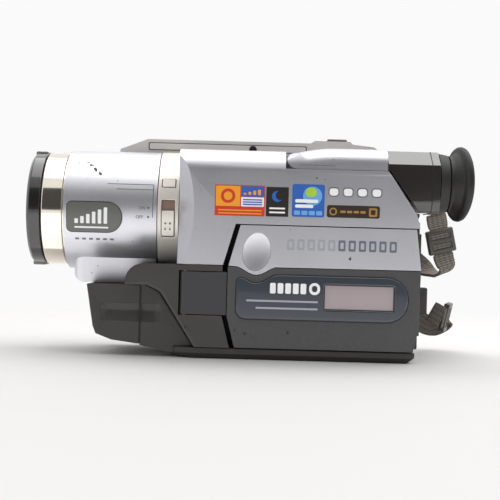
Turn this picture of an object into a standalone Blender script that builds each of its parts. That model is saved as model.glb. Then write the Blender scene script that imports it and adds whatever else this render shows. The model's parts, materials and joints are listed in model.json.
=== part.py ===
"""Tape camcorder: lens to -X, eyepiece to +X, screen door on the -Y side, cassette side to +Y.

The origin lies on the resting plane, under the lens axis and half way along the photographed side.
Sizes below are in millimetres, and the helper functions turn them to metres.
"""

import math

import bmesh
import bpy
from mathutils import Matrix, Vector

MM = 0.001

# Clearances and walls
GAP = 0.3
WALL = 2.4
LID_WALL = 2.2
DOOR_WALL = 1.2
SEAM = 2.2

# Cabinet
BODY_FRONT = -30.7
BODY_LENGTH = 101.9
NEAR_SIDE = -36.0
FAR_SIDE = 18.0
TOP = 88.6
SHOULDER = 10.0
COLOUR_BORDER = 39.4
BASE_THICKNESS = 4.5
BASE_INSET = 2.0
BASE_FAR_SIDE = 24.0

# Lens
LENS_HEIGHT = 62.3
BARREL_RADIUS = 26.4
BARREL_LENGTH = 40.1
BAND_LENGTH = 9.1
BAND_PROUD = 0.2
RING_RADIUS = 24.9
RING_LENGTH = 9.2
RING_GROOVE = 1.0
CAP_DEPTH = 6.0
CAP_FACE = 2.4
TUBE_RADIUS = 21.5
TUBE_REAR_RADIUS = 12.0
TUBE_REAR_LENGTH = 19.0
FILTER_RADIUS = 18.5
ZOOM_BORE_RADIUS = 16.0
CHIN_DROP = 32.1
CHIN_HALF_WIDTH = 20.0
CHIN_SETBACK = 1.5

# Lower front
PANEL_LENGTH = 22.8
PANEL_SLOPE = 3.0
PANEL_TOE = 4.3
PANEL_NEAR_SIDE = -30.3
PANEL_FAR_SIDE = 24.0
JACK_COVER_THICKNESS = 2.7
FRONT_SEAM = -45.9
ARCH_RADIUS = 7.5
ARCH_LENGTH = 6.3
GROOVE_LOW = 14.6
GROOVE_HIGH = 21.9
GROOVE_DEPTH = 1.6
MIC = (-8.0, 10.0, 17.0, 26.0)
SENSOR = (-24.0, -12.0, 15.0, 22.0)
JACK_RADIUS = 2.9

# Screen door
DOOR_FRONT = -9.1
DOOR_OVERHANG = 0.8
DOOR_TOP = 56.5
DOOR_DEPTH = 11.0
DOOR_TOP_LEAN = 4.9
DOOR_FOOT_LEAN = 3.5
DOOR_TRAY_DEPTH = 7.7
DOOR_FACE = 1.8
DOOR_BORDER = 39.2
LOBE_HALF_WIDTH = 9.5
LOBE_DEPTH = 3.6
HINGE_HEIGHT = 18.0
HINGE_CENTRE = 27.5
HINGE_LENGTH = 19.8
HINGE_INSET = 2.0
HINGE_PIN_RADIUS = 0.8
SHAFT_RADIUS = 2.2
SCREEN_WIDTH = 50.8
SCREEN_HEIGHT = 38.1
OVAL_X = 2.8
OVAL_Z = 45.5
OVAL_WIDTH = 11.3
OVAL_HEIGHT = 15.5
OVAL_LEAN = math.radians(9)
OVAL_PROUD = 1.2
WINDOW_LOW = 17.2
WINDOW_HIGH = 35.9
WINDOW_FRONT = -5.3
WINDOW_REAR = 66.9
WINDOW_THICKNESS = 0.8
BACKLIGHT_FRONT = 31.9
BACKLIGHT_REAR = 60.7
BACKLIGHT_LOW = 22.2
BACKLIGHT_HIGH = 32.1

# Viewfinder
FINDER_OVERHANG = 8.4
FINDER_COVER_LENGTH = 42.8
FINDER_NOSE_RADIUS = 4.8
FINDER_TUBE_LENGTH = 22.1
FINDER_RISE = 1.9
FINDER_BOTTOM = 63.8
FINDER_NEAR_SIDE = -33.7
FINDER_WIDTH = 27.4
FINDER_PIN_RADIUS = 1.2
EYE_Z = 77.0
EYE_RING_RADIUS = 13.1
EYE_RING_LENGTH = 4.4
EYE_BORE_RADIUS = 9.0
CUP_RIM_RADIUS = 16.2
CUP_LENGTH = 6.3
CUP_TILT = math.radians(10.8)

# Top cover and its controls
SLAB_FRONT = -60.0
SLAB_REAR = 57.5
SLAB_RISE = 6.6
SLAB_NEAR_SIDE = 2.5
SLAB_FAR_SIDE = 36.0
SLAB_WEDGE = 12.4
SLAB_HUMP = 1.2
LEVER_X = 38.75
LEVER_Y = 17.0
LEVER_LENGTH = 9.1
LEVER_WIDTH = 14.0
LEVER_TRAVEL = 2.5
LEVER_STEM = 3.2
PHOTO_X = 48.6
PHOTO_RADIUS = 3.0

# Rear controls
DIAL_Y = 8.0
DIAL_Z = 70.0
DIAL_RADIUS = 8.5
DIAL_DEPTH = 5.2
RECORD_RADIUS = 4.5
REAR_PANEL_THICKNESS = 2.6
REAR_PANEL_TOP = 60.0

# Cassette side
DECK_THICKNESS = 1.5
LID_DEPTH = 19.4
LID_FRONT = -29.0
LID_OVERHANG = 2.8
LID_TOP = 84.0
LID_ROUND = 10.0
LID_END_ROUND = 4.0
LID_PIN_RADIUS = 1.0
DRUM_X = 22.0
DRUM_Z = 69.0
DRUM_RADIUS = 10.85
HUB_RADIUS = 8.0
HUB_SPACING = 30.0
HUB_Z = 36.0
CAPSTAN_RADIUS = 1.25

# Hand strap
STRAP_LOW = 30.0
STRAP_HIGH = 60.0
STRAP_THICKNESS = 4.4
STRAP_BOW = 6.5
STRAP_SEAT = 4.5
WEBBING_WIDTH = 10.0
WEBBING_THICKNESS = 1.4
BUCKLE_WIDTH = 13.6
BUCKLE_LENGTH = 11.5
BUCKLE_THICKNESS = 2.8
BUCKLE_BAR = 2.0
UPPER_LUG = (67.5, 71.0)
LOWER_LUG = (18.0, 30.6)
BUCKLE_UPPER = ((16.2, 25.0, 52.8), (0.95, 0.2, 0.24), (0.3, 0.12, -0.94))
BUCKLE_LOWER = ((20.0, 28.0, 16.8), (0.2, -0.1, 0.97), (0.3, 0.95, 0.0))

# Base fittings
SOCKET_X = 24.0
SOCKET_BORE = 3.175
SOCKET_RADIUS = 6.5
EJECT_X = -14.0
EJECT_LENGTH = 9.0
EJECT_WIDTH = 5.0
EJECT_TRAVEL = 4.0

# Places that follow from the sizes above
body_rear = BODY_FRONT + BODY_LENGTH
cabinet_floor = BASE_THICKNESS + GAP
slab_top = TOP + SLAB_RISE
finder_top = TOP + FINDER_RISE
finder_front = body_rear + FINDER_OVERHANG - FINDER_TUBE_LENGTH - GAP - FINDER_COVER_LENGTH
lid_rear = body_rear + LID_OVERHANG
band_rear = BODY_FRONT - GAP
band_front = band_rear - BAND_LENGTH
band_radius = BARREL_RADIUS + BAND_PROUD
barrel_rear = band_front - GAP
barrel_front = barrel_rear - BARREL_LENGTH
ring_rear = barrel_front - RING_GROOVE
ring_front = ring_rear - RING_LENGTH
cap_rear = ring_front - GAP
cap_front = cap_rear - CAP_DEPTH
tube_front = ring_front + GAP
sleeve_radius = TUBE_RADIUS + GAP
chin_bottom = LENS_HEIGHT - CHIN_DROP
panel_top = chin_bottom - GAP
panel_rear = FRONT_SEAM - GAP
panel_front = panel_rear - PANEL_LENGTH
panel_foot = cabinet_floor + 0.1
arch_bottom = panel_top + GAP
panel_knee = panel_foot + 7.1
recess_floor = NEAR_SIDE + DOOR_DEPTH + 0.8
board_wall = recess_floor + WALL
door_inner = NEAR_SIDE + DOOR_DEPTH
door_bottom = cabinet_floor + 0.2
door_rear = body_rear + DOOR_OVERHANG
hinge_low = HINGE_CENTRE - HINGE_HEIGHT / 2
hinge_high = HINGE_CENTRE + HINGE_HEIGHT / 2
hinge_rear = DOOR_FRONT - GAP
hinge_front = hinge_rear - HINGE_LENGTH
hinge_x = hinge_front + HINGE_INSET
hinge_y = NEAR_SIDE + HINGE_INSET
finder_floor = finder_top - 2 * FINDER_NOSE_RADIUS
finder_far = FINDER_NEAR_SIDE + FINDER_WIDTH
finder_pivot_x = finder_front + FINDER_NOSE_RADIUS
finder_pivot_z = finder_top - FINDER_NOSE_RADIUS
finder_cover_rear = finder_front + FINDER_COVER_LENGTH
finder_tube_front = finder_cover_rear + GAP
finder_tube_rear = finder_tube_front + FINDER_TUBE_LENGTH
finder_wall = finder_far + 0.8
eye_y = FINDER_NEAR_SIDE + FINDER_WIDTH / 2
eye_ring_front = finder_tube_rear + GAP
cup_front = eye_ring_front + EYE_RING_LENGTH + GAP
slab_bottom = TOP + GAP
deck_near = FAR_SIDE + GAP
deck_far = deck_near + DECK_THICKNESS
lid_near = deck_far + GAP
lid_far = lid_near + LID_DEPTH
lid_pin_y = lid_near + LID_PIN_RADIUS / 2
lid_pin_z = BASE_THICKNESS + GAP + LID_PIN_RADIUS
lid_bottom = lid_pin_z + LID_PIN_RADIUS + GAP
control_rear = body_rear + GAP


def empty_scene():
    """Removes what the scene held, and adds the collections for parts and cutters."""
    for item in list(bpy.data.objects):
        bpy.data.objects.remove(item)
    for name in ("camcorder", "cutters"):
        bpy.context.scene.collection.children.link(bpy.data.collections.new(name))


def finish(name, colour, roughness, metallic=0.0):
    """A plain Principled material, with its colour as red, green and blue from 0 to 1."""
    material = bpy.data.materials.new(name)
    material.use_nodes = True
    shader = material.node_tree.nodes["Principled BSDF"]
    shader.inputs["Base Color"].default_value = (*colour, 1.0)
    shader.inputs["Roughness"].default_value = roughness
    shader.inputs["Metallic"].default_value = metallic
    material.diffuse_color = (*colour, 1.0)
    return material


def link(name, data, collection="camcorder"):
    item = bpy.data.objects.new(name, data)
    bpy.data.collections[collection].objects.link(item)
    return item


def realised(item):
    """The object with its curve or modifiers turned to one welded mesh, faces outwards."""
    graph = bpy.context.evaluated_depsgraph_get()
    mesh = bpy.data.meshes.new_from_object(item.evaluated_get(graph))
    shape = bmesh.new()
    shape.from_mesh(mesh)
    bmesh.ops.remove_doubles(shape, verts=shape.verts, dist=1e-6)
    bmesh.ops.recalc_face_normals(shape, faces=shape.faces)
    shape.to_mesh(mesh)
    shape.free()
    mesh.transform(item.matrix_world)
    solid = link("solid", mesh)
    name = item.name
    bpy.data.objects.remove(item)
    solid.name = name
    return solid


def rounded(corners, steps=5):
    """The outline's points, with an arc at each corner (u, v, radius)."""
    points = []
    count = len(corners)
    for index, corner in enumerate(corners):
        here = Vector(corner[:2])
        radius = corner[2] if len(corner) > 2 else 0
        if not radius:
            points.append(tuple(here))
            continue
        before = (Vector(corners[index - 1][:2]) - here).normalized()
        after = (Vector(corners[(index + 1) % count][:2]) - here).normalized()
        half = before.angle(after) / 2
        centre = here + (before + after).normalized() * radius / math.sin(half)
        start = here + before * radius / math.tan(half) - centre
        end = here + after * radius / math.tan(half) - centre
        turn = start.angle_signed(end)
        for step in range(steps + 1):
            points.append(tuple(centre + Matrix.Rotation(-turn * step / steps, 2) @ start))
    return points


def inset(points, depth):
    """The outline moved inwards by a wall's thickness."""
    count = len(points)
    area = sum(points[i - 1][0] * points[i][1] - points[i][0] * points[i - 1][1] for i in range(count))
    side = 1 if area > 0 else -1
    moved = []
    for index in range(count):
        here = Vector(points[index][:2])
        first = (here - Vector(points[index - 1][:2])).normalized()
        second = (Vector(points[(index + 1) % count][:2]) - here).normalized()
        normal = Vector((-first.y - second.y, first.x + second.x)).normalized() * side
        lean = normal.dot(Vector((-first.y, first.x)) * side)
        moved.append(tuple(here + normal * depth / max(lean, 0.3)))
    return moved


def prism(name, points, axis, low, high):
    """A flat outline pulled along an axis: (x, z) along Y, (y, z) along X and (x, y) along Z."""
    curve = bpy.data.curves.new(name, "CURVE")
    curve.dimensions = "2D"
    curve.fill_mode = "BOTH"
    curve.extrude = (high - low) / 2 * MM
    spline = curve.splines.new("POLY")
    spline.points.add(len(points) - 1)
    for knot, point in zip(spline.points, points):
        knot.co = (point[0] * MM, point[1] * MM, 0, 1)
    spline.use_cyclic_u = True
    item = link(name, curve)
    turn = {"X": (90, 0, 90), "Y": (90, 0, 0), "Z": (0, 0, 0)}[axis]
    item.rotation_euler = [math.radians(angle) for angle in turn]
    item.location["XYZ".index(axis)] = (low + high) / 2 * MM
    bpy.context.view_layer.update()
    return realised(item)


def block(name, low, high, edge=0.0):
    """A box between two corners, with its edges rounded where an edge radius is given."""
    mesh = bpy.data.meshes.new(name)
    shape = bmesh.new()
    size = [b - a for a, b in zip(low, high)]
    bmesh.ops.create_cube(shape, size=1, matrix=Matrix.Diagonal((*[side * MM for side in size], 1)))
    shape.to_mesh(mesh)
    shape.free()
    item = link(name, mesh)
    item.location = [(a + b) / 2 * MM for a, b in zip(low, high)]
    if edge:
        bevel = item.modifiers.new("rounded_edges", "BEVEL")
        bevel.width = edge * MM
        bevel.segments = 2
    return item


def turned(name, profile, axis, centre, steps=48, closed=True):
    """A turned shape from (place along the axis, radius) points, about an axis through the centre."""
    mesh = bpy.data.meshes.new(name)
    count = len(profile)
    edges = [(i, (i + 1) % count) for i in range(count if closed else count - 1)]
    mesh.from_pydata([(radius * MM, 0, along * MM) for along, radius in profile], edges, [])
    item = link(name, mesh)
    screw = item.modifiers.new("turned", "SCREW")
    screw.steps = screw.render_steps = steps
    screw.use_merge_vertices = True
    screw.merge_threshold = 1e-6
    turn = {"X": (0, 90, 0), "Y": (-90, 0, 0), "Z": (0, 0, 0)}[axis]
    item.rotation_euler = [math.radians(angle) for angle in turn]
    item.location = [part * MM for part in centre]
    bpy.context.view_layer.update()
    return realised(item)


def disc(name, axis, centre, low, high, radius, steps=32):
    """A plain round bar from low to high along its axis."""
    profile = [(high, 0), (high, radius), (low, radius), (low, 0)]
    return turned(name, profile, axis, centre, steps, closed=False)


def boolean(target, other, operation):
    """Cuts, joins or trims the target with another solid, which moves to the cutters."""
    bpy.data.collections["camcorder"].objects.unlink(other)
    bpy.data.collections["cutters"].objects.link(other)
    other.name = f"{target.name}_{operation.lower()}"
    other.hide_render = True
    other.display_type = "WIRE"
    change = target.modifiers.new(operation.lower(), "BOOLEAN")
    change.operation = operation
    change.object = other
    return target


def cut(target, *cutters):
    for cutter in cutters:
        boolean(target, cutter, "DIFFERENCE")
    return target


def join(target, *others):
    for other in others:
        boolean(target, other, "UNION")
    return target


def trim(target, *outers):
    for outer in outers:
        boolean(target, outer, "INTERSECT")
    return target


def ribbon(name, route, steps=4):
    """Flat webbing along a route of (centre, width direction), smooth between its points."""
    centres = [Vector(centre) for centre, _ in route]
    widths = [Vector(width).normalized() for _, width in route]
    sections = []
    for index in range(len(route) - 1):
        run = [centres[max(index - 1, 0)], centres[index], centres[index + 1]]
        run.append(centres[min(index + 2, len(route) - 1)])
        last = index == len(route) - 2
        for step in range(steps + last):
            part = step / steps
            point = smooth_point(run, part)
            along = (smooth_point(run, part + 0.01) - smooth_point(run, part - 0.01)).normalized()
            width = widths[index].lerp(widths[index + 1], part)
            width = (width - along * width.dot(along)).normalized() * WEBBING_WIDTH / 2
            thick = along.cross(width).normalized() * WEBBING_THICKNESS / 2
            corners = (width + thick, thick - width, -width - thick, width - thick)
            sections.append([(point + corner) * MM for corner in corners])
    shape = bmesh.new()
    rings = [[shape.verts.new(corner) for corner in section] for section in sections]
    for first, second in zip(rings, rings[1:]):
        for side in range(4):
            after = (side + 1) % 4
            shape.faces.new((first[side], first[after], second[after], second[side]))
    shape.faces.new(rings[0])
    shape.faces.new(rings[-1])
    bmesh.ops.recalc_face_normals(shape, faces=shape.faces)
    mesh = bpy.data.meshes.new(name)
    shape.to_mesh(mesh)
    shape.free()
    return link(name, mesh)


def smooth_point(run, part):
    """A point on the smooth curve between the second and third of four points."""
    before, start, end, after = run
    length = (end - start).length
    leave = (end - before).normalized() * length
    arrive = (after - start).normalized() * length
    rise = part**2 * (3 - 2 * part)
    return start.lerp(end, rise) + leave * part * (1 - part) ** 2 - arrive * part**2 * (1 - part)


def body(name, pivot, *pieces, parent=None):
    """An empty on the joint's axis that carries the pieces which move together."""
    carrier = link(name, None)
    carrier.empty_display_size = 0.01
    carrier.location = [part * MM for part in pivot]
    if parent:
        carrier.parent = parent
        carrier.matrix_parent_inverse = Matrix.Translation(-parent.location)
    for piece in pieces:
        piece.parent = carrier
        piece.matrix_parent_inverse = Matrix.Translation(-carrier.location)
    return carrier


def ellipse(x, z, width, height, lean, points=28):
    """An oval outline, leaning to the rear by an angle."""
    turn = Matrix.Rotation(-lean, 2)
    outline = []
    for index in range(points):
        angle = math.tau * index / points
        place = turn @ Vector((math.cos(angle) * width / 2, math.sin(angle) * height / 2))
        outline.append((x + place.x, z + place.y))
    return outline


def lens_cylinder(name, radius, front, rear, steps=64):
    return disc(name, "X", (0, 0, LENS_HEIGHT), front, rear, radius, steps)


def lens_ring(name, profile, steps=64):
    return turned(name, profile, "X", (0, 0, LENS_HEIGHT), steps)


def door_slot(reach):
    """The outline of the door's recess in the two cabinets, reaching past its top and foot."""
    left = DOOR_FRONT - SEAM
    lean = DOOR_TOP_LEAN / (DOOR_TOP - DOOR_BORDER)
    foot = DOOR_FOOT_LEAN / (hinge_low - door_bottom)
    top = DOOR_TOP + 1.5 * GAP
    return [
        (left + lean * (top - DOOR_BORDER), top),
        (left, DOOR_BORDER),
        (left, hinge_low),
        (left + foot * (hinge_low - cabinet_floor + reach), cabinet_floor - reach),
        (door_rear + reach, cabinet_floor - reach),
        (door_rear + reach, top),
    ]


def left_cabinet():
    """The silver upper shell, with the viewfinder's seat, the door's recess and the scoop at the barrel."""
    section = [(NEAR_SIDE, COLOUR_BORDER + GAP / 2), (NEAR_SIDE, TOP, SHOULDER), (FAR_SIDE, TOP)]
    section.append((FAR_SIDE, COLOUR_BORDER + GAP / 2))
    shell = prism("left_cabinet", rounded(section, 8), "X", BODY_FRONT, body_rear)
    reach = 20
    seat_floor = finder_floor - GAP
    seat_rear = finder_tube_front
    slant_foot = FINDER_BOTTOM - 1.3
    slant_rear = body_rear - 1.4
    seat = [(finder_front - GAP, TOP + reach), (finder_front - GAP, seat_floor), (seat_rear, seat_floor)]
    seat += [(slant_rear, slant_foot), (body_rear, DOOR_TOP + 0.8), (body_rear + reach, DOOR_TOP + 0.8)]
    seat.append((body_rear + reach, TOP + reach))
    cut(shell, prism("seat", seat, "Y", NEAR_SIDE - reach, finder_wall))
    cut(shell, prism("recess", door_slot(reach), "Y", NEAR_SIDE - reach, recess_floor))
    scoop_x = BODY_FRONT - 53.2
    scoop = [(NEAR_SIDE - 1, 60.7), (NEAR_SIDE + 14, 49.8)]
    profile = [(scoop[1][0], 0), (scoop[1][0], scoop[1][1]), (scoop[0][0], scoop[0][1]), (scoop[0][0], 0)]
    cut(shell, turned("scoop", profile, "Y", (scoop_x, 0, LENS_HEIGHT), 96, closed=False))
    cut(shell, lens_cylinder("throat", TUBE_REAR_RADIUS + GAP, BODY_FRONT - 1, BODY_FRONT + WALL + 1, 32))
    front = BODY_FRONT + WALL
    rear = body_rear - WALL
    ceiling = seat_floor - WALL
    main = [(front, COLOUR_BORDER - reach), (rear, COLOUR_BORDER - reach), (rear, DOOR_TOP - WALL)]
    main += [(slant_rear - 3.2, slant_foot - 1), (seat_rear - 2.2, ceiling), (front, ceiling)]
    cut(shell, prism("board_space", main, "Y", board_wall, FAR_SIDE + 1))
    roof = TOP - WALL
    deck_space = block("deck_space", (front, finder_wall + WALL, ceiling - 9), (rear, FAR_SIDE + 1, roof))
    over_door = [(NEAR_SIDE + WALL, DOOR_TOP + 3.2), (NEAR_SIDE + WALL, ceiling), (board_wall + 1, ceiling)]
    over_door.append((board_wall + 1, DOOR_TOP + 3.2))
    side_space = prism("side_space", over_door, "X", BODY_FRONT + 9.5, seat_rear - WALL)
    cut(shell, deck_space, side_space)
    pin_hole = FINDER_PIN_RADIUS + GAP
    pivot = (finder_pivot_x, 0, finder_pivot_z)
    cut(shell, disc("pin_hole", "Y", pivot, finder_wall - 1, finder_wall + WALL + 1, pin_hole, 20))
    return shell


def lower_cabinet():
    """The dark lower shell, with the arch by the barrel, the stepped front and the hinge pocket."""
    top = COLOUR_BORDER - GAP / 2
    arch_front = FRONT_SEAM - ARCH_LENGTH
    base_front = BODY_FRONT + 0.4
    outline = [(FRONT_SEAM, BASE_THICKNESS), (FRONT_SEAM, arch_bottom), (arch_front, arch_bottom)]
    outline += [(arch_front, top, ARCH_RADIUS), (body_rear, top), (body_rear, cabinet_floor)]
    outline += [(base_front, cabinet_floor), (base_front, BASE_THICKNESS / 4)]
    shell = prism("lower_cabinet", rounded(outline, 6), "Y", NEAR_SIDE, FAR_SIDE)
    cut(shell, lens_cylinder("barrel_space", band_radius + 1.5 * GAP, arch_front - 5, BODY_FRONT + GAP))
    chin_near = -CHIN_HALF_WIDTH - GAP
    chin_space = block(
        "chin_space",
        (arch_front - 5, chin_near, panel_top - GAP),
        (barrel_rear + 1, FAR_SIDE + 1, top + 5),
    )
    cut(shell, chin_space)
    reach = 20
    cut(shell, prism("recess", door_slot(reach), "Y", NEAR_SIDE - reach, recess_floor))
    pocket_low = (hinge_front - GAP, NEAR_SIDE - reach, hinge_low - GAP)
    cut(shell, block("pocket", pocket_low, (DOOR_FRONT, door_inner + 2 * GAP, hinge_high + GAP)))
    ridge_top = FRONT_SEAM + 8.5
    ridge_foot = FRONT_SEAM + 27.1
    step = [(FRONT_SEAM - 1, -1), (FRONT_SEAM - 1, arch_bottom), (ridge_top - 5.6, arch_bottom)]
    step += [(ridge_top, panel_top - 2.3, 4), (ridge_foot, -1)]
    cut(shell, prism("step", rounded(step), "Y", NEAR_SIDE - reach, PANEL_NEAR_SIDE))
    cut(shell, finger_groove())
    pin = (hinge_x, hinge_y, 0)
    pin_hole = HINGE_PIN_RADIUS + GAP
    cut(shell, disc("pin_hole", "Z", pin, hinge_low - 4, hinge_high + 2.2, pin_hole, 16))
    rim = FAR_SIDE + 1
    bay_low = (FRONT_SEAM - 1, PANEL_NEAR_SIDE + WALL, panel_foot + WALL)
    cut(shell, block("jack_bay", bay_low, (BODY_FRONT - 0.8, FAR_SIDE - WALL, panel_top - WALL)))
    board_low = (BODY_FRONT + 1.4, board_wall, cabinet_floor + WALL)
    cut(shell, block("board_space", board_low, (body_rear - WALL, rim, top + 5)))
    return shell


def finger_groove():
    """The pull groove that runs over the jack cover and the cabinet behind it."""
    near = PANEL_NEAR_SIDE - 5
    low = (FRONT_SEAM - 16.5, near, GROOVE_LOW)
    return block("groove", low, (FRONT_SEAM + 9.3, PANEL_NEAR_SIDE + GROOVE_DEPTH, GROOVE_HIGH))


def lens_housing():
    """The silver barrel and the chin under it, in one moulding."""
    outer = BARREL_RADIUS
    soft = 0.8
    profile = [(barrel_front, outer - soft), (barrel_front + soft, outer), (barrel_rear, outer)]
    profile += [(barrel_rear, sleeve_radius), (barrel_front, sleeve_radius)]
    shell = lens_ring("lens_housing", profile)
    bottom = chin_bottom
    waist = LENS_HEIGHT - sleeve_radius * 0.78
    half = CHIN_HALF_WIDTH
    section = [(-half, waist), (-half, bottom, 5), (half, bottom, 5), (half, waist)]
    chin = prism("chin", rounded(section), "X", barrel_front + CHIN_SETBACK, barrel_rear - 0.6)
    nose = [(barrel_front - 2, bottom - 5), (barrel_front - 2, waist + 9)]
    nose.append((barrel_front + CHIN_SETBACK, waist))
    nose += [(barrel_front + CHIN_SETBACK, bottom + 8), (barrel_front + CHIN_SETBACK + 7, bottom)]
    nose.append((barrel_front + CHIN_SETBACK + 7, bottom - 5))
    cut(chin, prism("chin_nose", nose, "Y", -half - 5, half + 5))
    join(shell, chin)
    return cut(shell, lens_cylinder("bore", sleeve_radius, barrel_front - 1, barrel_rear + 1))


def switch_window(margin):
    """The box that bounds the band's slide switch, widened by a margin."""
    middle = (band_front + band_rear) / 2
    half = 2.6 + margin
    low = LENS_HEIGHT - 11.2 - margin
    return (middle - half, -40, low), (middle + half, -TUBE_RADIUS * 0.7, LENS_HEIGHT - 0.4 + margin)


def shutter_block(name, side, length, inner, outer):
    """A small block that points along the radius on which the band's button sits."""
    raised = math.radians(25.7)
    item = block(name, (-length / 2, -outer, -side / 2), (length / 2, -inner, side / 2))
    middle = (inner + outer) / 2
    item.location = [
        (band_front + band_rear) / 2 * MM,
        -math.cos(raised) * middle * MM,
        (LENS_HEIGHT + math.sin(raised) * middle) * MM,
    ]
    item.rotation_euler.x = -raised
    return item


def switch_band():
    """The cream ring behind the barrel, with openings for its switch and button."""
    profile = [(band_front, band_radius), (band_rear, band_radius), (band_rear, sleeve_radius)]
    ring = lens_ring("switch_band", profile + [(band_front, sleeve_radius)])
    low, high = switch_window(GAP)
    travel = 4.3
    cut(ring, block("window", low, (high[0], high[1], high[2] + travel)))
    size = (3.4 + 2 * GAP, 5.5 + 2 * GAP)
    return cut(ring, shutter_block("button_hole", *size, TUBE_RADIUS - 2, band_radius + 4))


def band_switch():
    profile = [(band_front, band_radius + 0.8), (band_rear, band_radius + 0.8)]
    profile += [(band_rear, TUBE_RADIUS + GAP), (band_front, TUBE_RADIUS + GAP)]
    knob = lens_ring("band_switch", profile, 96)
    return trim(knob, block("knob_bounds", *switch_window(0)))


def band_button():
    return shutter_block("band_button", 3.4, 5.5, TUBE_RADIUS + 0.8, band_radius + 0.5)


def front_ring():
    """The bright ring at the mouth of the barrel."""
    profile = [(ring_front, RING_RADIUS - 0.6), (ring_front + 0.6, RING_RADIUS), (ring_rear, RING_RADIUS)]
    profile += [(ring_rear, RING_RADIUS - 1), (barrel_front - GAP, RING_RADIUS - 1)]
    profile += [(barrel_front - GAP, sleeve_radius), (ring_front, sleeve_radius)]
    return lens_ring("front_ring", profile)


def lens_cap():
    """The clip-on cap, with a notch for each pinch tab."""
    outer = RING_RADIUS
    back = cap_front + CAP_FACE
    profile = [(back, 0), (back, outer - WALL), (cap_rear, outer - WALL), (cap_rear, outer)]
    profile += [(cap_front + 1.2, outer), (cap_front, outer - 1.2), (cap_front, 0)]
    cap = turned("lens_cap", profile, "X", (0, 0, LENS_HEIGHT), 64, closed=False)
    for side in (1, -1):
        low, high = tab_bounds(side, GAP, 1.5)
        cut(cap, block("tab_notch", (low[0] - 2, low[1], low[2]), (cap_rear + 2, high[1], high[2])))
    return cap


def tab_bounds(side, margin, travel=0.0):
    """The corners of a pinch tab above (1) or below (-1) the lens axis."""
    inner = RING_RADIUS - 4.0 - margin - travel
    outer = RING_RADIUS + 0.4 + margin
    ends = sorted((LENS_HEIGHT + side * inner, LENS_HEIGHT + side * outer))
    half = 5.0 + margin
    return (cap_front + GAP - margin, -half, ends[0]), (cap_rear - GAP + margin, half, ends[1])


def cap_tab(name, side):
    return block(name, *tab_bounds(side, 0), edge=0.5)


def lens_tube():
    """The black tube that carries the barrel's rings, its lenses and the sensor block."""
    shoulder = tube_front + 10
    rear = BODY_FRONT + TUBE_REAR_LENGTH
    profile = [(tube_front, TUBE_RADIUS), (band_rear, TUBE_RADIUS), (band_rear, TUBE_REAR_RADIUS)]
    profile += [(rear, TUBE_REAR_RADIUS), (rear, TUBE_REAR_RADIUS - 2), (band_rear - 2, TUBE_REAR_RADIUS - 2)]
    profile += [(band_rear - 2, ZOOM_BORE_RADIUS), (shoulder, ZOOM_BORE_RADIUS), (shoulder, FILTER_RADIUS)]
    return lens_ring("lens_tube", profile + [(tube_front, FILTER_RADIUS)], 48)


def glass_disc(name, front, rim, bulge, radius):
    """A lens with a domed front and a flat back."""
    back = front + bulge + rim
    profile = [(back, 0), (back, radius), (front + bulge, radius)]
    for step in (3, 2, 1):
        profile.append((front + bulge * (step / 4) ** 2, radius * step / 4))
    profile.append((front, 0))
    return turned(name, profile, "X", (0, 0, LENS_HEIGHT), 32, closed=False)


def zoom_lens():
    """The moving lens group in its holder."""
    middle = (barrel_front + barrel_rear) / 2
    return glass_disc("zoom_lens", middle - 4, 6, 2, ZOOM_BORE_RADIUS - GAP)


def ccd_block():
    front = BODY_FRONT + TUBE_REAR_LENGTH + GAP
    half = TUBE_REAR_RADIUS - 2
    return block("ccd_block", (front, -half, LENS_HEIGHT - half), (front + 5, half, LENS_HEIGHT + half), 0.6)


def panel_outline(margin=0.0):
    """The lower front's side outline, drawn in by a margin."""
    corners = [(panel_front, panel_top), (panel_rear, panel_top), (panel_rear, panel_foot)]
    corners += [(panel_front + PANEL_TOE + 6.7, panel_foot + 1.5), (panel_front + PANEL_TOE, panel_foot + 4)]
    corners.append((panel_front + PANEL_SLOPE, panel_knee))
    return inset(corners, margin) if margin else corners


def panel_face(height):
    """Where the slanted front of the lower front panel lies at a height."""
    return panel_front + PANEL_SLOPE * (panel_top - height) / (panel_top - panel_knee)


def front_slab(name, y_low, y_high, z_low, z_high, proud, depth, margin=0.0):
    """A plate set in the slanted front, standing proud of it, widened by a margin."""
    high = z_high + margin
    low = z_low - margin
    corners = [(panel_face(high) - proud, high), (panel_face(high) + depth + margin, high)]
    corners += [(panel_face(low) + depth + margin, low), (panel_face(low) - proud, low)]
    return prism(name, corners, "Y", y_low - margin, y_high + margin)


def front_panel():
    """The dark lower front, open at its rear, with seats for the microphone, the sensor and the jacks."""
    near = PANEL_NEAR_SIDE + JACK_COVER_THICKNESS + GAP
    shell = prism("front_panel", panel_outline(), "Y", near, PANEL_FAR_SIDE)
    space = panel_outline(WALL)
    space[1] = (panel_rear + 5, space[1][1])
    space[2] = (panel_rear + 5, space[2][1])
    cut(shell, prism("panel_space", space, "Y", near + WALL, PANEL_FAR_SIDE - WALL))
    cut(shell, front_slab("mic_seat", *MIC, 5, 1.4, GAP), front_slab("sensor_seat", *SENSOR, 5, 1.4, GAP))
    for centre in jack_centres():
        cut(shell, disc("jack_hole", "Y", centre, near - 2, near + WALL + 2, JACK_RADIUS + GAP, 20))
    return shell


def jack_centres():
    middle = (panel_front + panel_rear) / 2
    return [(middle + 2 + step * 4, 0, (panel_foot + panel_top) / 2 + 2) for step in (-1, 1)]


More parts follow.
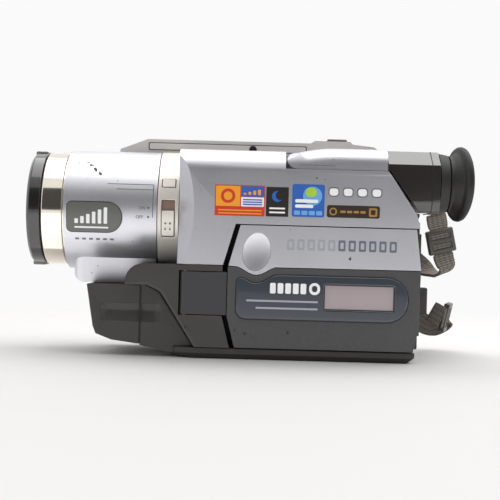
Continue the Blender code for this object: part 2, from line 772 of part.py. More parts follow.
def jack_board():
    """The board behind the jack cover, with two round sockets in one moulding."""
    near = PANEL_NEAR_SIDE + JACK_COVER_THICKNESS + GAP + WALL + GAP
    centres = jack_centres()
    height = centres[0][2]
    low = (centres[0][0] - 4, near, height - 5)
    board = block("jack_board", low, (centres[-1][0] + 4, near + 1.6, height + 5))
    for centre in centres:
        join(board, disc("socket", "Y", centre, near - WALL, near + 6, JACK_RADIUS, 20))
    for centre in centres:
        cut(board, disc("bore", "Y", centre, near - WALL - 1, near + 4, JACK_RADIUS - 1.1, 16))
    return board


def jack_cover():
    near = PANEL_NEAR_SIDE
    cover = prism("jack_cover", panel_outline(0.1), "Y", near, near + JACK_COVER_THICKNESS)
    return cut(cover, finger_groove())


def base_plate():
    """The bottom cover, with the tripod socket's seat and the eject slider's track."""
    front = BODY_FRONT + 0.4 + GAP
    rear = body_rear - 0.7
    outline = [(front, BASE_THICKNESS), (front, BASE_THICKNESS / 4), (front + 8, 0), (rear - 3.4, 0)]
    outline += [(rear, 2.4), (rear, BASE_THICKNESS)]
    plate = prism("base_plate", outline, "Y", NEAR_SIDE + BASE_INSET, BASE_FAR_SIDE)
    centre = (SOCKET_X, 0, 0)
    cut(plate, disc("socket_seat", "Z", centre, -1, BASE_THICKNESS + 1, SOCKET_RADIUS + GAP, 32))
    low, high = eject_bounds(GAP)
    return cut(plate, block("eject_track", (low[0], low[1], -1), (high[0] + EJECT_TRAVEL, high[1], high[2])))


def tripod_socket():
    profile = [(BASE_THICKNESS, SOCKET_RADIUS), (GAP, SOCKET_RADIUS), (GAP, SOCKET_BORE)]
    profile += [(BASE_THICKNESS, SOCKET_BORE)]
    return turned("tripod_socket", profile, "Z", (SOCKET_X, 0, 0), 32)


def eject_bounds(margin):
    y_middle = BASE_FAR_SIDE - 7
    low = (EJECT_X - margin, y_middle - EJECT_WIDTH / 2 - margin, 0.5)
    return low, (EJECT_X + EJECT_LENGTH + margin, y_middle + EJECT_WIDTH / 2 + margin, 2.4 + margin)


def eject_slider():
    low, high = eject_bounds(0)
    slider = block("eject_slider", low, high)
    for step in (2.5, 4.5, 6.5):
        rib = (low[0] + step, low[1] + 0.8, low[2] - 1)
        cut(slider, block("rib_gap", rib, (rib[0] + 0.8, high[1] - 0.8, low[2] + 0.5)))
    return slider


def top_cover():
    """The dark slab on the top, with a hump under the zoom lever and a skirt over the cassette lid."""
    foot = LID_TOP + 1.5 * GAP
    hump = slab_top + SLAB_HUMP
    outline = [(SLAB_FRONT, foot), (SLAB_FRONT, slab_bottom + 1.4), (SLAB_FRONT + SLAB_WEDGE, slab_top)]
    outline += [(LEVER_X - 12.5, slab_top), (LEVER_X - 10.5, hump), (LEVER_X + 5.5, hump)]
    outline += [(LEVER_X + 6.5, slab_top), (SLAB_REAR - 2.5, slab_top - 1), (SLAB_REAR, slab_top - 2.7)]
    outline.append((SLAB_REAR, foot))
    slab = prism("top_cover", outline, "Y", SLAB_NEAR_SIDE, SLAB_FAR_SIDE)
    section = [(SLAB_NEAR_SIDE - 1, slab_bottom), (lid_near, slab_bottom), (lid_near, foot - 1)]
    section += [(SLAB_FAR_SIDE, foot - 1), (SLAB_FAR_SIDE, slab_top - 1, 4), (SLAB_FAR_SIDE - 8, hump + 2, 4)]
    section.append((SLAB_NEAR_SIDE - 1, hump + 2))
    trim(slab, prism("slab_section", rounded(section), "X", SLAB_FRONT - 1, SLAB_REAR + 1))
    under_front = (SLAB_FRONT - 1, SLAB_NEAR_SIDE + 1, foot - 2)
    cut(slab, block("barrel_side", under_front, (LID_FRONT - GAP, SLAB_FAR_SIDE + 1, slab_bottom)))
    hollow_low = (LID_FRONT + WALL, SLAB_NEAR_SIDE + WALL, foot - 2)
    cut(slab, block("hollow", hollow_low, (SLAB_REAR - WALL, lid_near - WALL, slab_top - 1.3 * WALL)))
    half = LEVER_STEM / 2 + GAP
    slot_low = (LEVER_X - half - LEVER_TRAVEL, LEVER_Y - half, slab_bottom)
    cut(slab, block("lever_slot", slot_low, (LEVER_X + half + LEVER_TRAVEL, LEVER_Y + half, hump + 2)))
    centre = (PHOTO_X, LEVER_Y, 0)
    return cut(slab, disc("button_hole", "Z", centre, slab_bottom - 1, hump + 2, PHOTO_RADIUS + GAP, 24))


def zoom_lever():
    """The rocker knob on the hump, with its stem through the slot."""
    floor = slab_top + SLAB_HUMP + GAP
    half = LEVER_LENGTH / 2
    low = (LEVER_X - half, LEVER_Y - LEVER_WIDTH / 2, floor)
    knob = block("zoom_lever", low, (LEVER_X + half, LEVER_Y + LEVER_WIDTH / 2, floor + 1.5), 0.5)
    stem = LEVER_STEM / 2
    foot = (LEVER_X - stem, LEVER_Y - stem, floor - 4.5)
    return join(knob, block("stem", foot, (LEVER_X + stem, LEVER_Y + stem, floor + 0.7)))


def photo_button():
    top = slab_top + 0.8
    centre = (PHOTO_X, LEVER_Y, 0)
    foot = top - 3.6
    profile = [(top, 0), (top, PHOTO_RADIUS - 0.4), (top - 0.4, PHOTO_RADIUS)]
    profile += [(foot, PHOTO_RADIUS), (foot, 0)]
    return turned("photo_button", profile, "Z", centre, 24, closed=False)


def rear_panel():
    """The battery plate on the rear, with two rails and a seat for the terminal."""
    near = board_wall - 0.2
    front = control_rear
    rear = front + REAR_PANEL_THICKNESS
    plate = block("rear_panel", (front, near, cabinet_floor + GAP), (rear - 1, FAR_SIDE, REAR_PANEL_TOP))
    for edge in (near + 1, FAR_SIDE - 4):
        rail_low = (front + 1, edge, cabinet_floor + 6)
        join(plate, block("rail", rail_low, (rear, edge + 3, REAR_PANEL_TOP - 5)))
    low, high = terminal_bounds(GAP)
    return cut(plate, block("terminal_seat", low, (rear + 2, high[1], high[2])))


def terminal_bounds(margin):
    front = control_rear + 1
    middle = (board_wall + FAR_SIDE) / 2
    low = (front - margin, middle - 8 - margin, cabinet_floor + 8 - margin)
    return low, (control_rear + REAR_PANEL_THICKNESS - 0.4, middle + 8 + margin, cabinet_floor + 15 + margin)


def battery_terminal():
    low, high = terminal_bounds(0)
    terminal = block("battery_terminal", low, high)
    for step in (-5, 0, 5):
        middle = (low[1] + high[1]) / 2 + step
        contact_low = (high[0] - 1, middle - 0.6, low[2] + 1.5)
        cut(terminal, block("contact_gap", contact_low, (high[0] + 1, middle + 0.6, high[2] - 1.5)))
    return terminal


def power_dial():
    """The turning power switch on the rear, a ring with a pointer."""
    front = control_rear
    rear = front + DIAL_DEPTH
    outer = DIAL_RADIUS
    profile = [(rear, outer - 0.8), (rear - 0.8, outer), (front, outer), (front, RECORD_RADIUS + GAP)]
    dial = turned("power_dial", profile + [(rear, RECORD_RADIUS + GAP)], "X", (0, DIAL_Y, DIAL_Z), 40)
    tip_low = (front + 1.5, DIAL_Y + outer - 1.5, DIAL_Z - 1.6)
    return join(dial, block("pointer", tip_low, (rear - 0.6, DIAL_Y + outer + 1.4, DIAL_Z + 1.6)))


def record_button():
    front = control_rear + 1.4
    rear = control_rear + DIAL_DEPTH + 0.4
    profile = [(rear, 0), (rear, RECORD_RADIUS - 0.6), (rear - 0.6, RECORD_RADIUS)]
    profile += [(front, RECORD_RADIUS), (front, 0)]
    return turned("record_button", profile, "X", (0, DIAL_Y, DIAL_Z), 32, closed=False)


def deck_plate():
    """The steel tape deck that closes the cabinets, with a window for the drum."""
    low = (BODY_FRONT + WALL, deck_near, cabinet_floor + WALL)
    plate = block("deck_plate", low, (body_rear - 0.5, deck_far, TOP - WALL - 1))
    centre = (DRUM_X, 0, DRUM_Z)
    return cut(plate, disc("drum_window", "Y", centre, deck_near - 2, deck_far + 2, DRUM_RADIUS + GAP, 48))


def head_drum():
    """The tape drum, with the slit its heads run in."""
    inner = deck_near - 9
    outer = deck_far + 4
    middle = deck_far + 1
    slit = DRUM_RADIUS - 0.7
    profile = [(outer, 0), (outer, DRUM_RADIUS - 0.5), (outer - 0.5, DRUM_RADIUS)]
    profile.append((middle + 0.5, DRUM_RADIUS))
    profile += [(middle + 0.5, slit), (middle - 0.5, slit), (middle - 0.5, DRUM_RADIUS), (inner, DRUM_RADIUS)]
    return turned("head_drum", profile + [(inner, 0)], "Y", (DRUM_X, 0, DRUM_Z), 40, closed=False)


def reel_hub(name, side):
    """A reel's drive hub on the deck, a disc with three teeth at its middle."""
    x = DRUM_X + side * HUB_SPACING / 2
    low = deck_far + GAP
    profile = [(low + 2.4, 0), (low + 2.4, 2.2), (low + 1.4, 2.2)]
    profile += [(low + 1.4, HUB_RADIUS), (low, HUB_RADIUS), (low, 0)]
    hub = turned(name, profile, "Y", (x, 0, HUB_Z), 32, closed=False)
    for step in range(3):
        angle = math.tau * step / 3
        tooth = (x + 2.2 * math.cos(angle), HUB_Z + 2.2 * math.sin(angle))
        low_corner = (tooth[0] - 0.6, low + 1, tooth[1] - 0.6)
        join(hub, block("tooth", low_corner, (tooth[0] + 0.6, low + 2.2, tooth[1] + 0.6)))
    return hub


def capstan_shaft():
    low = deck_far + GAP
    return disc("capstan_shaft", "Y", (DRUM_X + 22, 0, DRUM_Z - 4), low, low + 9, CAPSTAN_RADIUS, 16)


def main_board():
    near = board_wall + GAP
    low = (BODY_FRONT + 12, near, cabinet_floor + WALL + 2)
    return block("main_board", low, (body_rear - WALL - 3, near + 1.6, DOOR_TOP - 2))


def lcd_hinge_block():
    """The square block that the door swings on, with the shaft that the door hangs by."""
    corners = [(hinge_front, NEAR_SIDE, HINGE_INSET), (hinge_rear, NEAR_SIDE), (hinge_rear, door_inner)]
    corners.append((hinge_front, door_inner))
    item = prism("lcd_hinge_block", rounded(corners), "Z", hinge_low, hinge_high)
    shaft = (0, shaft_y(), HINGE_CENTRE)
    join(item, disc("shaft", "X", shaft, hinge_rear - 3, DOOR_FRONT + DOOR_WALL + 2.5, SHAFT_RADIUS, 24))
    pin = (hinge_x, hinge_y, 0)
    return cut(item, disc("bore", "Z", pin, hinge_low - 1, hinge_high + 1, HINGE_PIN_RADIUS + 0.2, 16))


def shaft_y():
    return NEAR_SIDE + DOOR_TRAY_DEPTH / 2 + 1.2


def lcd_hinge_pin():
    pivot = (hinge_x, hinge_y, 0)
    return disc("lcd_hinge_pin", "Z", pivot, hinge_low - 3.6, hinge_high + 1.8, HINGE_PIN_RADIUS, 16)


def border(x, height):
    """The wavy line between the door's silver and dark covers, which dips under the oval button."""
    part = (x - OVAL_X) / LOBE_HALF_WIDTH
    dip = 0.5 + 0.5 * math.cos(math.pi * part) if abs(part) < 1 else 0
    return x, height - LOBE_DEPTH * dip


def border_line(height, steps=12):
    return [border(OVAL_X + LOBE_HALF_WIDTH * (2 * step / steps - 1), height) for step in range(1, steps)]


def door_top_outline():
    line = DOOR_BORDER + GAP / 2
    corners = [(door_rear, line), (door_rear - 2.2, DOOR_TOP), (DOOR_FRONT + DOOR_TOP_LEAN, DOOR_TOP)]
    corners += [(DOOR_FRONT + 0.2, line)]
    return corners + border_line(line)


def door_low_outline():
    line = DOOR_BORDER - GAP / 2
    corners = [(door_rear, line), (door_rear - 0.6, 14.0), (door_rear - 2.6, door_bottom)]
    corners += [(DOOR_FRONT + DOOR_FOOT_LEAN, door_bottom), (DOOR_FRONT, hinge_low - GAP), (DOOR_FRONT, line)]
    return corners + border_line(line)


def door_tray(name, outline):
    """A shallow cover of the door, open towards the screen."""
    inner = NEAR_SIDE + DOOR_TRAY_DEPTH
    tray = prism(name, outline, "Y", NEAR_SIDE, inner)
    return cut(tray, prism("hollow", inset(outline, DOOR_WALL), "Y", NEAR_SIDE + DOOR_FACE, inner + 2))


def door_top_cover():
    tray = door_tray("door_top_cover", door_top_outline())
    hole = ellipse(OVAL_X, OVAL_Z, OVAL_WIDTH + 2 * GAP, OVAL_HEIGHT + 2 * GAP, OVAL_LEAN)
    return cut(tray, prism("button_hole", hole, "Y", NEAR_SIDE - 2, NEAR_SIDE + DOOR_FACE + 2))


def door_lower_cover():
    tray = door_tray("door_lower_cover", door_low_outline())
    seat = window_outline(GAP)
    depth = WINDOW_THICKNESS + GAP
    cut(tray, prism("window_seat", seat, "Y", NEAR_SIDE - 2, NEAR_SIDE + depth))
    shaft = (0, shaft_y(), HINGE_CENTRE)
    hole = SHAFT_RADIUS + GAP
    return cut(tray, disc("shaft_hole", "X", shaft, DOOR_FRONT - 2, DOOR_FRONT + DOOR_WALL + 1, hole, 24))


def window_outline(margin):
    """The glossy plate's outline: round at the rear, dipping under the oval button at the front."""
    low = WINDOW_LOW - margin
    high = WINDOW_HIGH + margin
    front = WINDOW_FRONT - margin
    rear = WINDOW_REAR + margin
    corners = [(front, low, 4 + margin), (rear, low, 9 + margin), (rear, high, 9 + margin)]
    dip = [border(OVAL_X + LOBE_HALF_WIDTH * (1 - step / 6), high) for step in range(10)]
    return rounded(corners + dip + [(front, border(front, high)[1] - 0.5, 2 + margin)], 5)


def window_plate():
    plate = prism("window_plate", window_outline(0), "Y", NEAR_SIDE, NEAR_SIDE + WINDOW_THICKNESS)
    low, high = backlight_bounds(GAP)
    hole = block("backlight_hole", (low[0], NEAR_SIDE - 2, low[2]), (high[0], NEAR_SIDE + 3, high[2]))
    return cut(plate, hole)


def backlight_bounds(margin):
    low = (BACKLIGHT_FRONT - margin, NEAR_SIDE + 0.2, BACKLIGHT_LOW - margin)
    return low, (BACKLIGHT_REAR + margin, NEAR_SIDE + WINDOW_THICKNESS, BACKLIGHT_HIGH + margin)


def backlight_window():
    return block("backlight_window", *backlight_bounds(0))


def lcd_bezel():
    """The frame round the screen on the door's inner side."""
    outline = [(door_rear, DOOR_BORDER), (door_rear - 0.6, 14.0), (door_rear - 2.6, door_bottom)]
    outline += [(DOOR_FRONT + DOOR_FOOT_LEAN, door_bottom), (DOOR_FRONT, hinge_low - GAP)]
    outline += [(DOOR_FRONT, DOOR_BORDER), (DOOR_FRONT + DOOR_TOP_LEAN, DOOR_TOP)]
    outline.append((door_rear - 2.2, DOOR_TOP))
    frame = prism("lcd_bezel", outline, "Y", NEAR_SIDE + DOOR_TRAY_DEPTH + GAP, door_inner)
    low, high = screen_bounds(GAP)
    return cut(frame, block("screen_hole", (low[0], low[1] - 5, low[2]), (high[0], high[1] + 5, high[2])))


def screen_bounds(margin):
    front = (DOOR_FRONT + door_rear) / 2 - SCREEN_WIDTH / 2 - margin
    low = (door_bottom + DOOR_TOP) / 2 - SCREEN_HEIGHT / 2 - margin
    near = NEAR_SIDE + DOOR_TRAY_DEPTH + 2 * GAP
    far = (front + SCREEN_WIDTH + 2 * margin, door_inner - GAP, low + SCREEN_HEIGHT + 2 * margin)
    return (front, near, low), far


def lcd_screen():
    return block("lcd_screen", *screen_bounds(0))


def open_button():
    outline = ellipse(OVAL_X, OVAL_Z, OVAL_WIDTH, OVAL_HEIGHT, OVAL_LEAN)
    button = prism("open_button", outline, "Y", NEAR_SIDE - OVAL_PROUD, NEAR_SIDE + DOOR_FACE + 1.5)
    edge = button.modifiers.new("rounded_edges", "BEVEL")
    edge.width = 0.5 * MM
    edge.segments = 2
    return button


def finder_section(name, low, front, rear, corner):
    """A rounded section that trims the viewfinder's edges, pulled along it."""
    section = [(FINDER_NEAR_SIDE, low), (FINDER_NEAR_SIDE, finder_top, corner)]
    section += [(finder_far, finder_top, corner), (finder_far, low)]
    return prism(name, rounded(section), "X", front, rear)


def viewfinder_cover():
    """The silver cover, with its round nose on the pivot."""
    nose = FINDER_NOSE_RADIUS
    outline = [(finder_cover_rear, finder_top), (finder_front, finder_top, nose - 0.01)]
    outline += [(finder_front, finder_floor, nose - 0.01), (finder_cover_rear, finder_floor)]
    cover = prism("viewfinder_cover", rounded(outline, 8), "Y", FINDER_NEAR_SIDE, finder_far)
    trim(cover, finder_section("cover_section", finder_floor - 2, finder_front - 2, finder_cover_rear + 2, 8))
    low = (finder_pivot_x + nose, FINDER_NEAR_SIDE + 2 * WALL, finder_floor - 2)
    cut(cover, block("hollow", low, (finder_cover_rear - WALL, finder_far - WALL, finder_top - 1.5 * WALL)))
    pivot = (finder_pivot_x, 0, finder_pivot_z)
    bore = FINDER_PIN_RADIUS + GAP
    return cut(cover, disc("bore", "Y", pivot, FINDER_NEAR_SIDE + 4, finder_far + 1, bore, 20))


def viewfinder_tube():
    """The dark tube behind the cover, open at the eyepiece."""
    top = finder_top - 0.3
    heel = finder_tube_front + 13.7
    shin = finder_floor + 0.4
    outline = [(finder_tube_front, top), (finder_tube_rear, top), (finder_tube_rear, FINDER_BOTTOM)]
    outline += [(heel, FINDER_BOTTOM), (finder_tube_front + 0.6, shin), (finder_tube_front, shin)]
    tube = prism("viewfinder_tube", outline, "Y", FINDER_NEAR_SIDE, finder_far)
    corner = 9
    section = [(FINDER_NEAR_SIDE, top, corner), (finder_far, top, corner), (finder_far, FINDER_BOTTOM, 5)]
    section.append((FINDER_NEAR_SIDE, FINDER_BOTTOM, 5))
    trim(tube, prism("tube_section", rounded(section), "X", finder_tube_front - 2, finder_tube_rear + 2))
    space = inset(outline, WALL)
    space[1] = (finder_tube_rear + 2, space[1][1])
    space[2] = (finder_tube_rear + 2, space[2][1])
    near = FINDER_NEAR_SIDE + WALL
    far = finder_far - WALL
    inner = [(near, top - WALL, corner - WALL), (far, top - WALL, corner - WALL)]
    inner += [(far, FINDER_BOTTOM + WALL, 3), (near, FINDER_BOTTOM + WALL, 3)]
    hollow = prism("hollow", space, "Y", FINDER_NEAR_SIDE, finder_far)
    trim(hollow, prism("hollow_section", rounded(inner), "X", finder_tube_front, finder_tube_rear + 4))
    return cut(tube, hollow)


def viewfinder_pin():
    pivot = (finder_pivot_x, 0, finder_pivot_z)
    near = FINDER_NEAR_SIDE + 4 + GAP
    return disc("viewfinder_pin", "Y", pivot, near, finder_wall + WALL, FINDER_PIN_RADIUS, 20)


def eyecup_ring():
    front = eye_ring_front
    rear = front + EYE_RING_LENGTH
    outer = EYE_RING_RADIUS
    profile = [(rear, outer - 0.8), (front, outer), (front, EYE_BORE_RADIUS), (rear, EYE_BORE_RADIUS)]
    return turned("eyecup_ring", profile, "X", (0, eye_y, EYE_Z), 40)


def eyepiece_lens():
    front = eye_ring_front + 0.8
    radius = EYE_BORE_RADIUS - GAP
    profile = [(front + 2.4, 0), (front + 1.9, radius * 0.6), (front + 1.2, radius)]
    profile += [(front, radius), (front, 0)]
    return turned("eyepiece_lens", profile, "X", (0, eye_y, EYE_Z), 32, closed=False)


def eyecup():
    """The rubber bell, whose rim leans so that its near side reaches further back."""
    throat = EYE_RING_RADIUS - 0.9
    bore = EYE_BORE_RADIUS + 0.8
    rim = CUP_RIM_RADIUS
    run = CUP_LENGTH
    outer = [(0, throat), (0.25, throat - 0.4), (0.55, throat + 1.2), (0.75, rim - 0.8)]
    outer += [(0.9, rim), (1.0, rim - 0.5)]
    inner = [(0.96, rim - 1.4), (0.72, rim - 3), (0.45, bore + 1.2), (0.2, bore), (0, bore)]
    profile = [(cup_front + along * run, radius) for along, radius in reversed(outer)]
    profile += [(cup_front + along * run, radius) for along, radius in reversed(inner)]
    cup = turned("eyecup", profile, "X", (0, eye_y, EYE_Z), 40)
    for vertex in cup.data.vertices:
        along = (vertex.co.x / MM - cup_front) / run
        share = min(max((along - 0.2) / 0.5, 0), 1)
        vertex.co.x -= (vertex.co.y - eye_y * MM) * math.tan(CUP_TILT) * share
    return cup


def lid_section(margin):
    """The lid's section across the camcorder, drawn in by a wall."""
    near = lid_near - (1 if margin else 0)
    low = lid_bottom + margin
    high = LID_TOP - margin
    far = lid_far - margin
    corner = LID_ROUND - margin
    return rounded([(near, low), (far, low, corner), (far, high, corner), (near, high)], 6)


def cassette_lid():
    """The deep lid over the tape deck, with lugs for the hand strap."""
    lid = prism("cassette_lid", lid_section(0), "X", LID_FRONT, lid_rear)
    plan = [(LID_FRONT, lid_near - 1), (lid_rear, lid_near - 1), (lid_rear, lid_far + 0.01, LID_END_ROUND)]
    plan.append((LID_FRONT, lid_far + 0.01, LID_END_ROUND))
    trim(lid, prism("lid_plan", rounded(plan, 4), "Z", lid_bottom - 1, LID_TOP + 1))
    for low, high in (strap_front_lug(), upper_lug(), lower_lug()):
        join(lid, block("lug", low, high, 0.6))
    return cut(lid, prism("well", lid_section(LID_WALL), "X", LID_FRONT + LID_WALL, lid_rear - LID_WALL))


def strap_front_lug():
    front = LID_FRONT + LID_END_ROUND + 1
    outer = lid_far + STRAP_SEAT + STRAP_THICKNESS / 2
    return (front, lid_far - 1, STRAP_LOW), (front + 4, outer, STRAP_HIGH)


def upper_lug():
    return (lid_rear - 1, lid_near + 1, UPPER_LUG[0]), (lid_rear + 16, lid_near + 7, UPPER_LUG[1])


def lower_lug():
    return (lid_rear - 1, lid_near + 1, LOWER_LUG[0]), (lid_rear + 10, lid_near + 8, LOWER_LUG[1])


def lid_hinge_pin():
    centre = (0, lid_pin_y, lid_pin_z)
    return disc("lid_hinge_pin", "X", centre, LID_FRONT + 1, body_rear - 1, LID_PIN_RADIUS, 16)


def strap_ends():
    """Where the padded strap starts and ends along X."""
    return strap_front_lug()[1][0] + 3 * GAP, lid_rear - 3


def hand_strap():
    """The padded band across the cassette lid, bowed out to leave room for a hand."""
    front, rear = strap_ends()
    middle = (front + rear) / 2
    half = (rear - front) / 2
    seat = lid_far + STRAP_SEAT
    radius = half**2 / (2 * STRAP_BOW) + STRAP_BOW / 2
    sweep = math.asin(half / radius)
    centre = seat + STRAP_BOW - radius
    outline = []
    for side in (1, -1):
        for step in range(17):
            angle = side * sweep * (2 * step / 16 - 1)
            reach = radius + side * STRAP_THICKNESS / 2
            outline.append((middle + reach * math.sin(angle), centre + reach * math.cos(angle)))
    return prism("hand_strap", outline, "Z", STRAP_LOW, STRAP_HIGH)


def strap_root(height, past=0.0):
    """The middle of the padded strap's rear end, at a height, where a webbing tail joins it."""
    _, rear = strap_ends()
    return rear + 1.0 + past, lid_far + STRAP_SEAT - 0.3 * past, height


def buckle_lines(place):
    """A buckle's centre, behind the lid's rear end, and its directions across and along the webbing."""
    offset, across, along = (Vector(item) for item in place)
    across.normalize()
    along = (along - across * along.dot(across)).normalized()
    return offset + Vector((lid_rear, 0, 0)), across, along


def buckle(name, place):
    """A slider frame with a middle bar, set across its webbing."""
    centre, across, along = buckle_lines(place)
    facing = across.cross(along)
    half = (BUCKLE_WIDTH / 2, BUCKLE_LENGTH / 2, BUCKLE_THICKNESS / 2)
    frame = block(name, [-side for side in half], half, 0.6)
    slot = (BUCKLE_LENGTH - 3 * BUCKLE_BAR) / 2
    for side in (1, -1):
        middle = side * (slot + BUCKLE_BAR) / 2
        low = (-half[0] + BUCKLE_BAR, middle - slot / 2, -half[2] - 1)
        hole = block("slot", low, (half[0] - BUCKLE_BAR, middle + slot / 2, half[2] + 1))
        place_on(hole, centre, across, along, facing)
        cut(frame, hole)
    return place_on(frame, centre, across, along, facing)


def place_on(item, centre, across, along, facing):
    """Turns a piece modelled about the origin into the buckle's own directions."""
    turn = Matrix((across, along, facing)).transposed().to_4x4()
    item.matrix_world = Matrix.Translation(centre * MM) @ turn @ Matrix.Translation(item.location)
    return item


def buckle_end(place, side, past=GAP):
    """The point a little past a buckle's edge, up (-1) or down (1) the webbing."""
    centre, across, along = buckle_lines(place)
    return centre + along * side * (BUCKLE_LENGTH / 2 + past)


def strap_upper():
    """The webbing from the upper lug down to its buckle."""
    across = BUCKLE_UPPER[1]
    length = upper_lug()[0][2] - BUCKLE_UPPER[0][2] - BUCKLE_LENGTH / 2 - 1.2
    route = [(buckle_end(BUCKLE_UPPER, -1, length), across), (buckle_end(BUCKLE_UPPER, -1), across)]
    return ribbon("strap_upper", route)


def strap_upper_tail():
    across = BUCKLE_UPPER[1]
    route = [(buckle_end(BUCKLE_UPPER, 1, 0.5), across), (buckle_end(BUCKLE_UPPER, 1, 2.5), across)]
    route += [((lid_rear + 19.4, 26.8, 39.8), (0.8, 0.5, 0.3))]
    route += [((lid_rear + 14.6, 30.0, 36.8), (0.3, 0.9, 0.1))]
    route += [((lid_rear + 8.2, 37.0, 41.0), (-0.3, 0.5, 0.8))]
    route += [(strap_root(48.0, 3.2), (0, 0, 1))]
    return ribbon("strap_upper_tail", route)


def strap_lower():
    lug = lower_lug()
    start = Vector((lug[1][0] + 1.9, (lug[0][1] + lug[1][1]) / 2 - 1, 20.0))
    across = BUCKLE_LOWER[1]
    route = [(start, across), (buckle_end(BUCKLE_LOWER, -1, 1.6), across)]
    return ribbon("strap_lower", route)


def strap_lower_tail():
    across = BUCKLE_LOWER[1]
    route = [(buckle_end(BUCKLE_LOWER, 1, 0.8), across), (buckle_end(BUCKLE_LOWER, 1, 5), across)]
    route += [((lid_rear + 21.6, 40.0, 14.0), (0.3, 0.1, 0.9))]
    route += [((lid_rear + 15.5, 42.5, 11.5), (0.3, 0.2, 0.9))]
    route += [((lid_rear + 8.0, 43.0, 16.0), (0.3, 0.1, 0.9))]
    route += [(strap_root(33.0, 5.4), (0.8, 0, 0.6))]
    return ribbon("strap_lower_tail", route)


def paint(names, material):
    for name in names.split():
        bpy.data.objects[name].data.materials.append(material)


def finishes():
    """The materials, each given to the pieces that are made of it."""
    silver = finish("silver_paint", (0.49, 0.50, 0.53), 0.35, 0.3)
    paint("left_cabinet lens_housing door_top_cover viewfinder_cover open_button", silver)
    dark = finish("dark_plastic", (0.095, 0.095, 0.1), 0.5)
    paint("lower_cabinet front_panel jack_cover base_plate rear_panel lcd_hinge_block", dark)
    paint("door_lower_cover lcd_bezel viewfinder_tube eyecup_ring cassette_lid lens_cap", dark)
    paint("jack_board battery_terminal power_dial eject_slider infrared_window mic_grille", dark)
    slab = finish("grey_plastic", (0.35, 0.34, 0.33), 0.5)
    paint("top_cover zoom_lever cap_tab_upper cap_tab_lower band_switch", slab)
    paint("switch_band", finish("cream_plastic", (0.62, 0.6, 0.56), 0.5))
    paint("photo_button band_button", finish("pale_button", (0.54, 0.54, 0.47), 0.5))
    paint("front_ring", finish("polished_ring", (0.75, 0.7, 0.62), 0.12, 1.0))
    steel = finish("steel", (0.6, 0.6, 0.6), 0.3, 1.0)
    paint("deck_plate head_drum capstan_shaft tripod_socket", steel)
    paint("lcd_hinge_pin viewfinder_pin lid_hinge_pin", steel)
    paint("supply_hub takeup_hub lens_tube ccd_block", finish("black_plastic", (0.02, 0.02, 0.02), 0.5))
    paint("front_lens zoom_lens eyepiece_lens", finish("lens_glass", (0.3, 0.35, 0.4), 0.05))
    paint("main_board", finish("circuit_board", (0.03, 0.16, 0.07), 0.5))
    paint("window_plate", finish("smoked_window", (0.06, 0.07, 0.08), 0.15))
    paint("backlight_window", finish("pale_diffuser", (0.4, 0.33, 0.35), 0.3))
    paint("lcd_screen", finish("screen_glass", (0.02, 0.02, 0.025), 0.1))
    paint("eyecup", finish("rubber", (0.025, 0.022, 0.02), 0.8))
    paint("record_button", finish("red_button", (0.5, 0.03, 0.02), 0.4))
    paint("hand_strap", finish("padded_fabric", (0.03, 0.03, 0.03), 0.9))
    webbing = finish("nylon_webbing", (0.15, 0.13, 0.12), 0.85)
    paint("strap_upper strap_upper_tail strap_lower strap_lower_tail", webbing)
    paint("buckle_upper buckle_lower", finish("buckle_plastic", (0.1, 0.09, 0.08), 0.4))


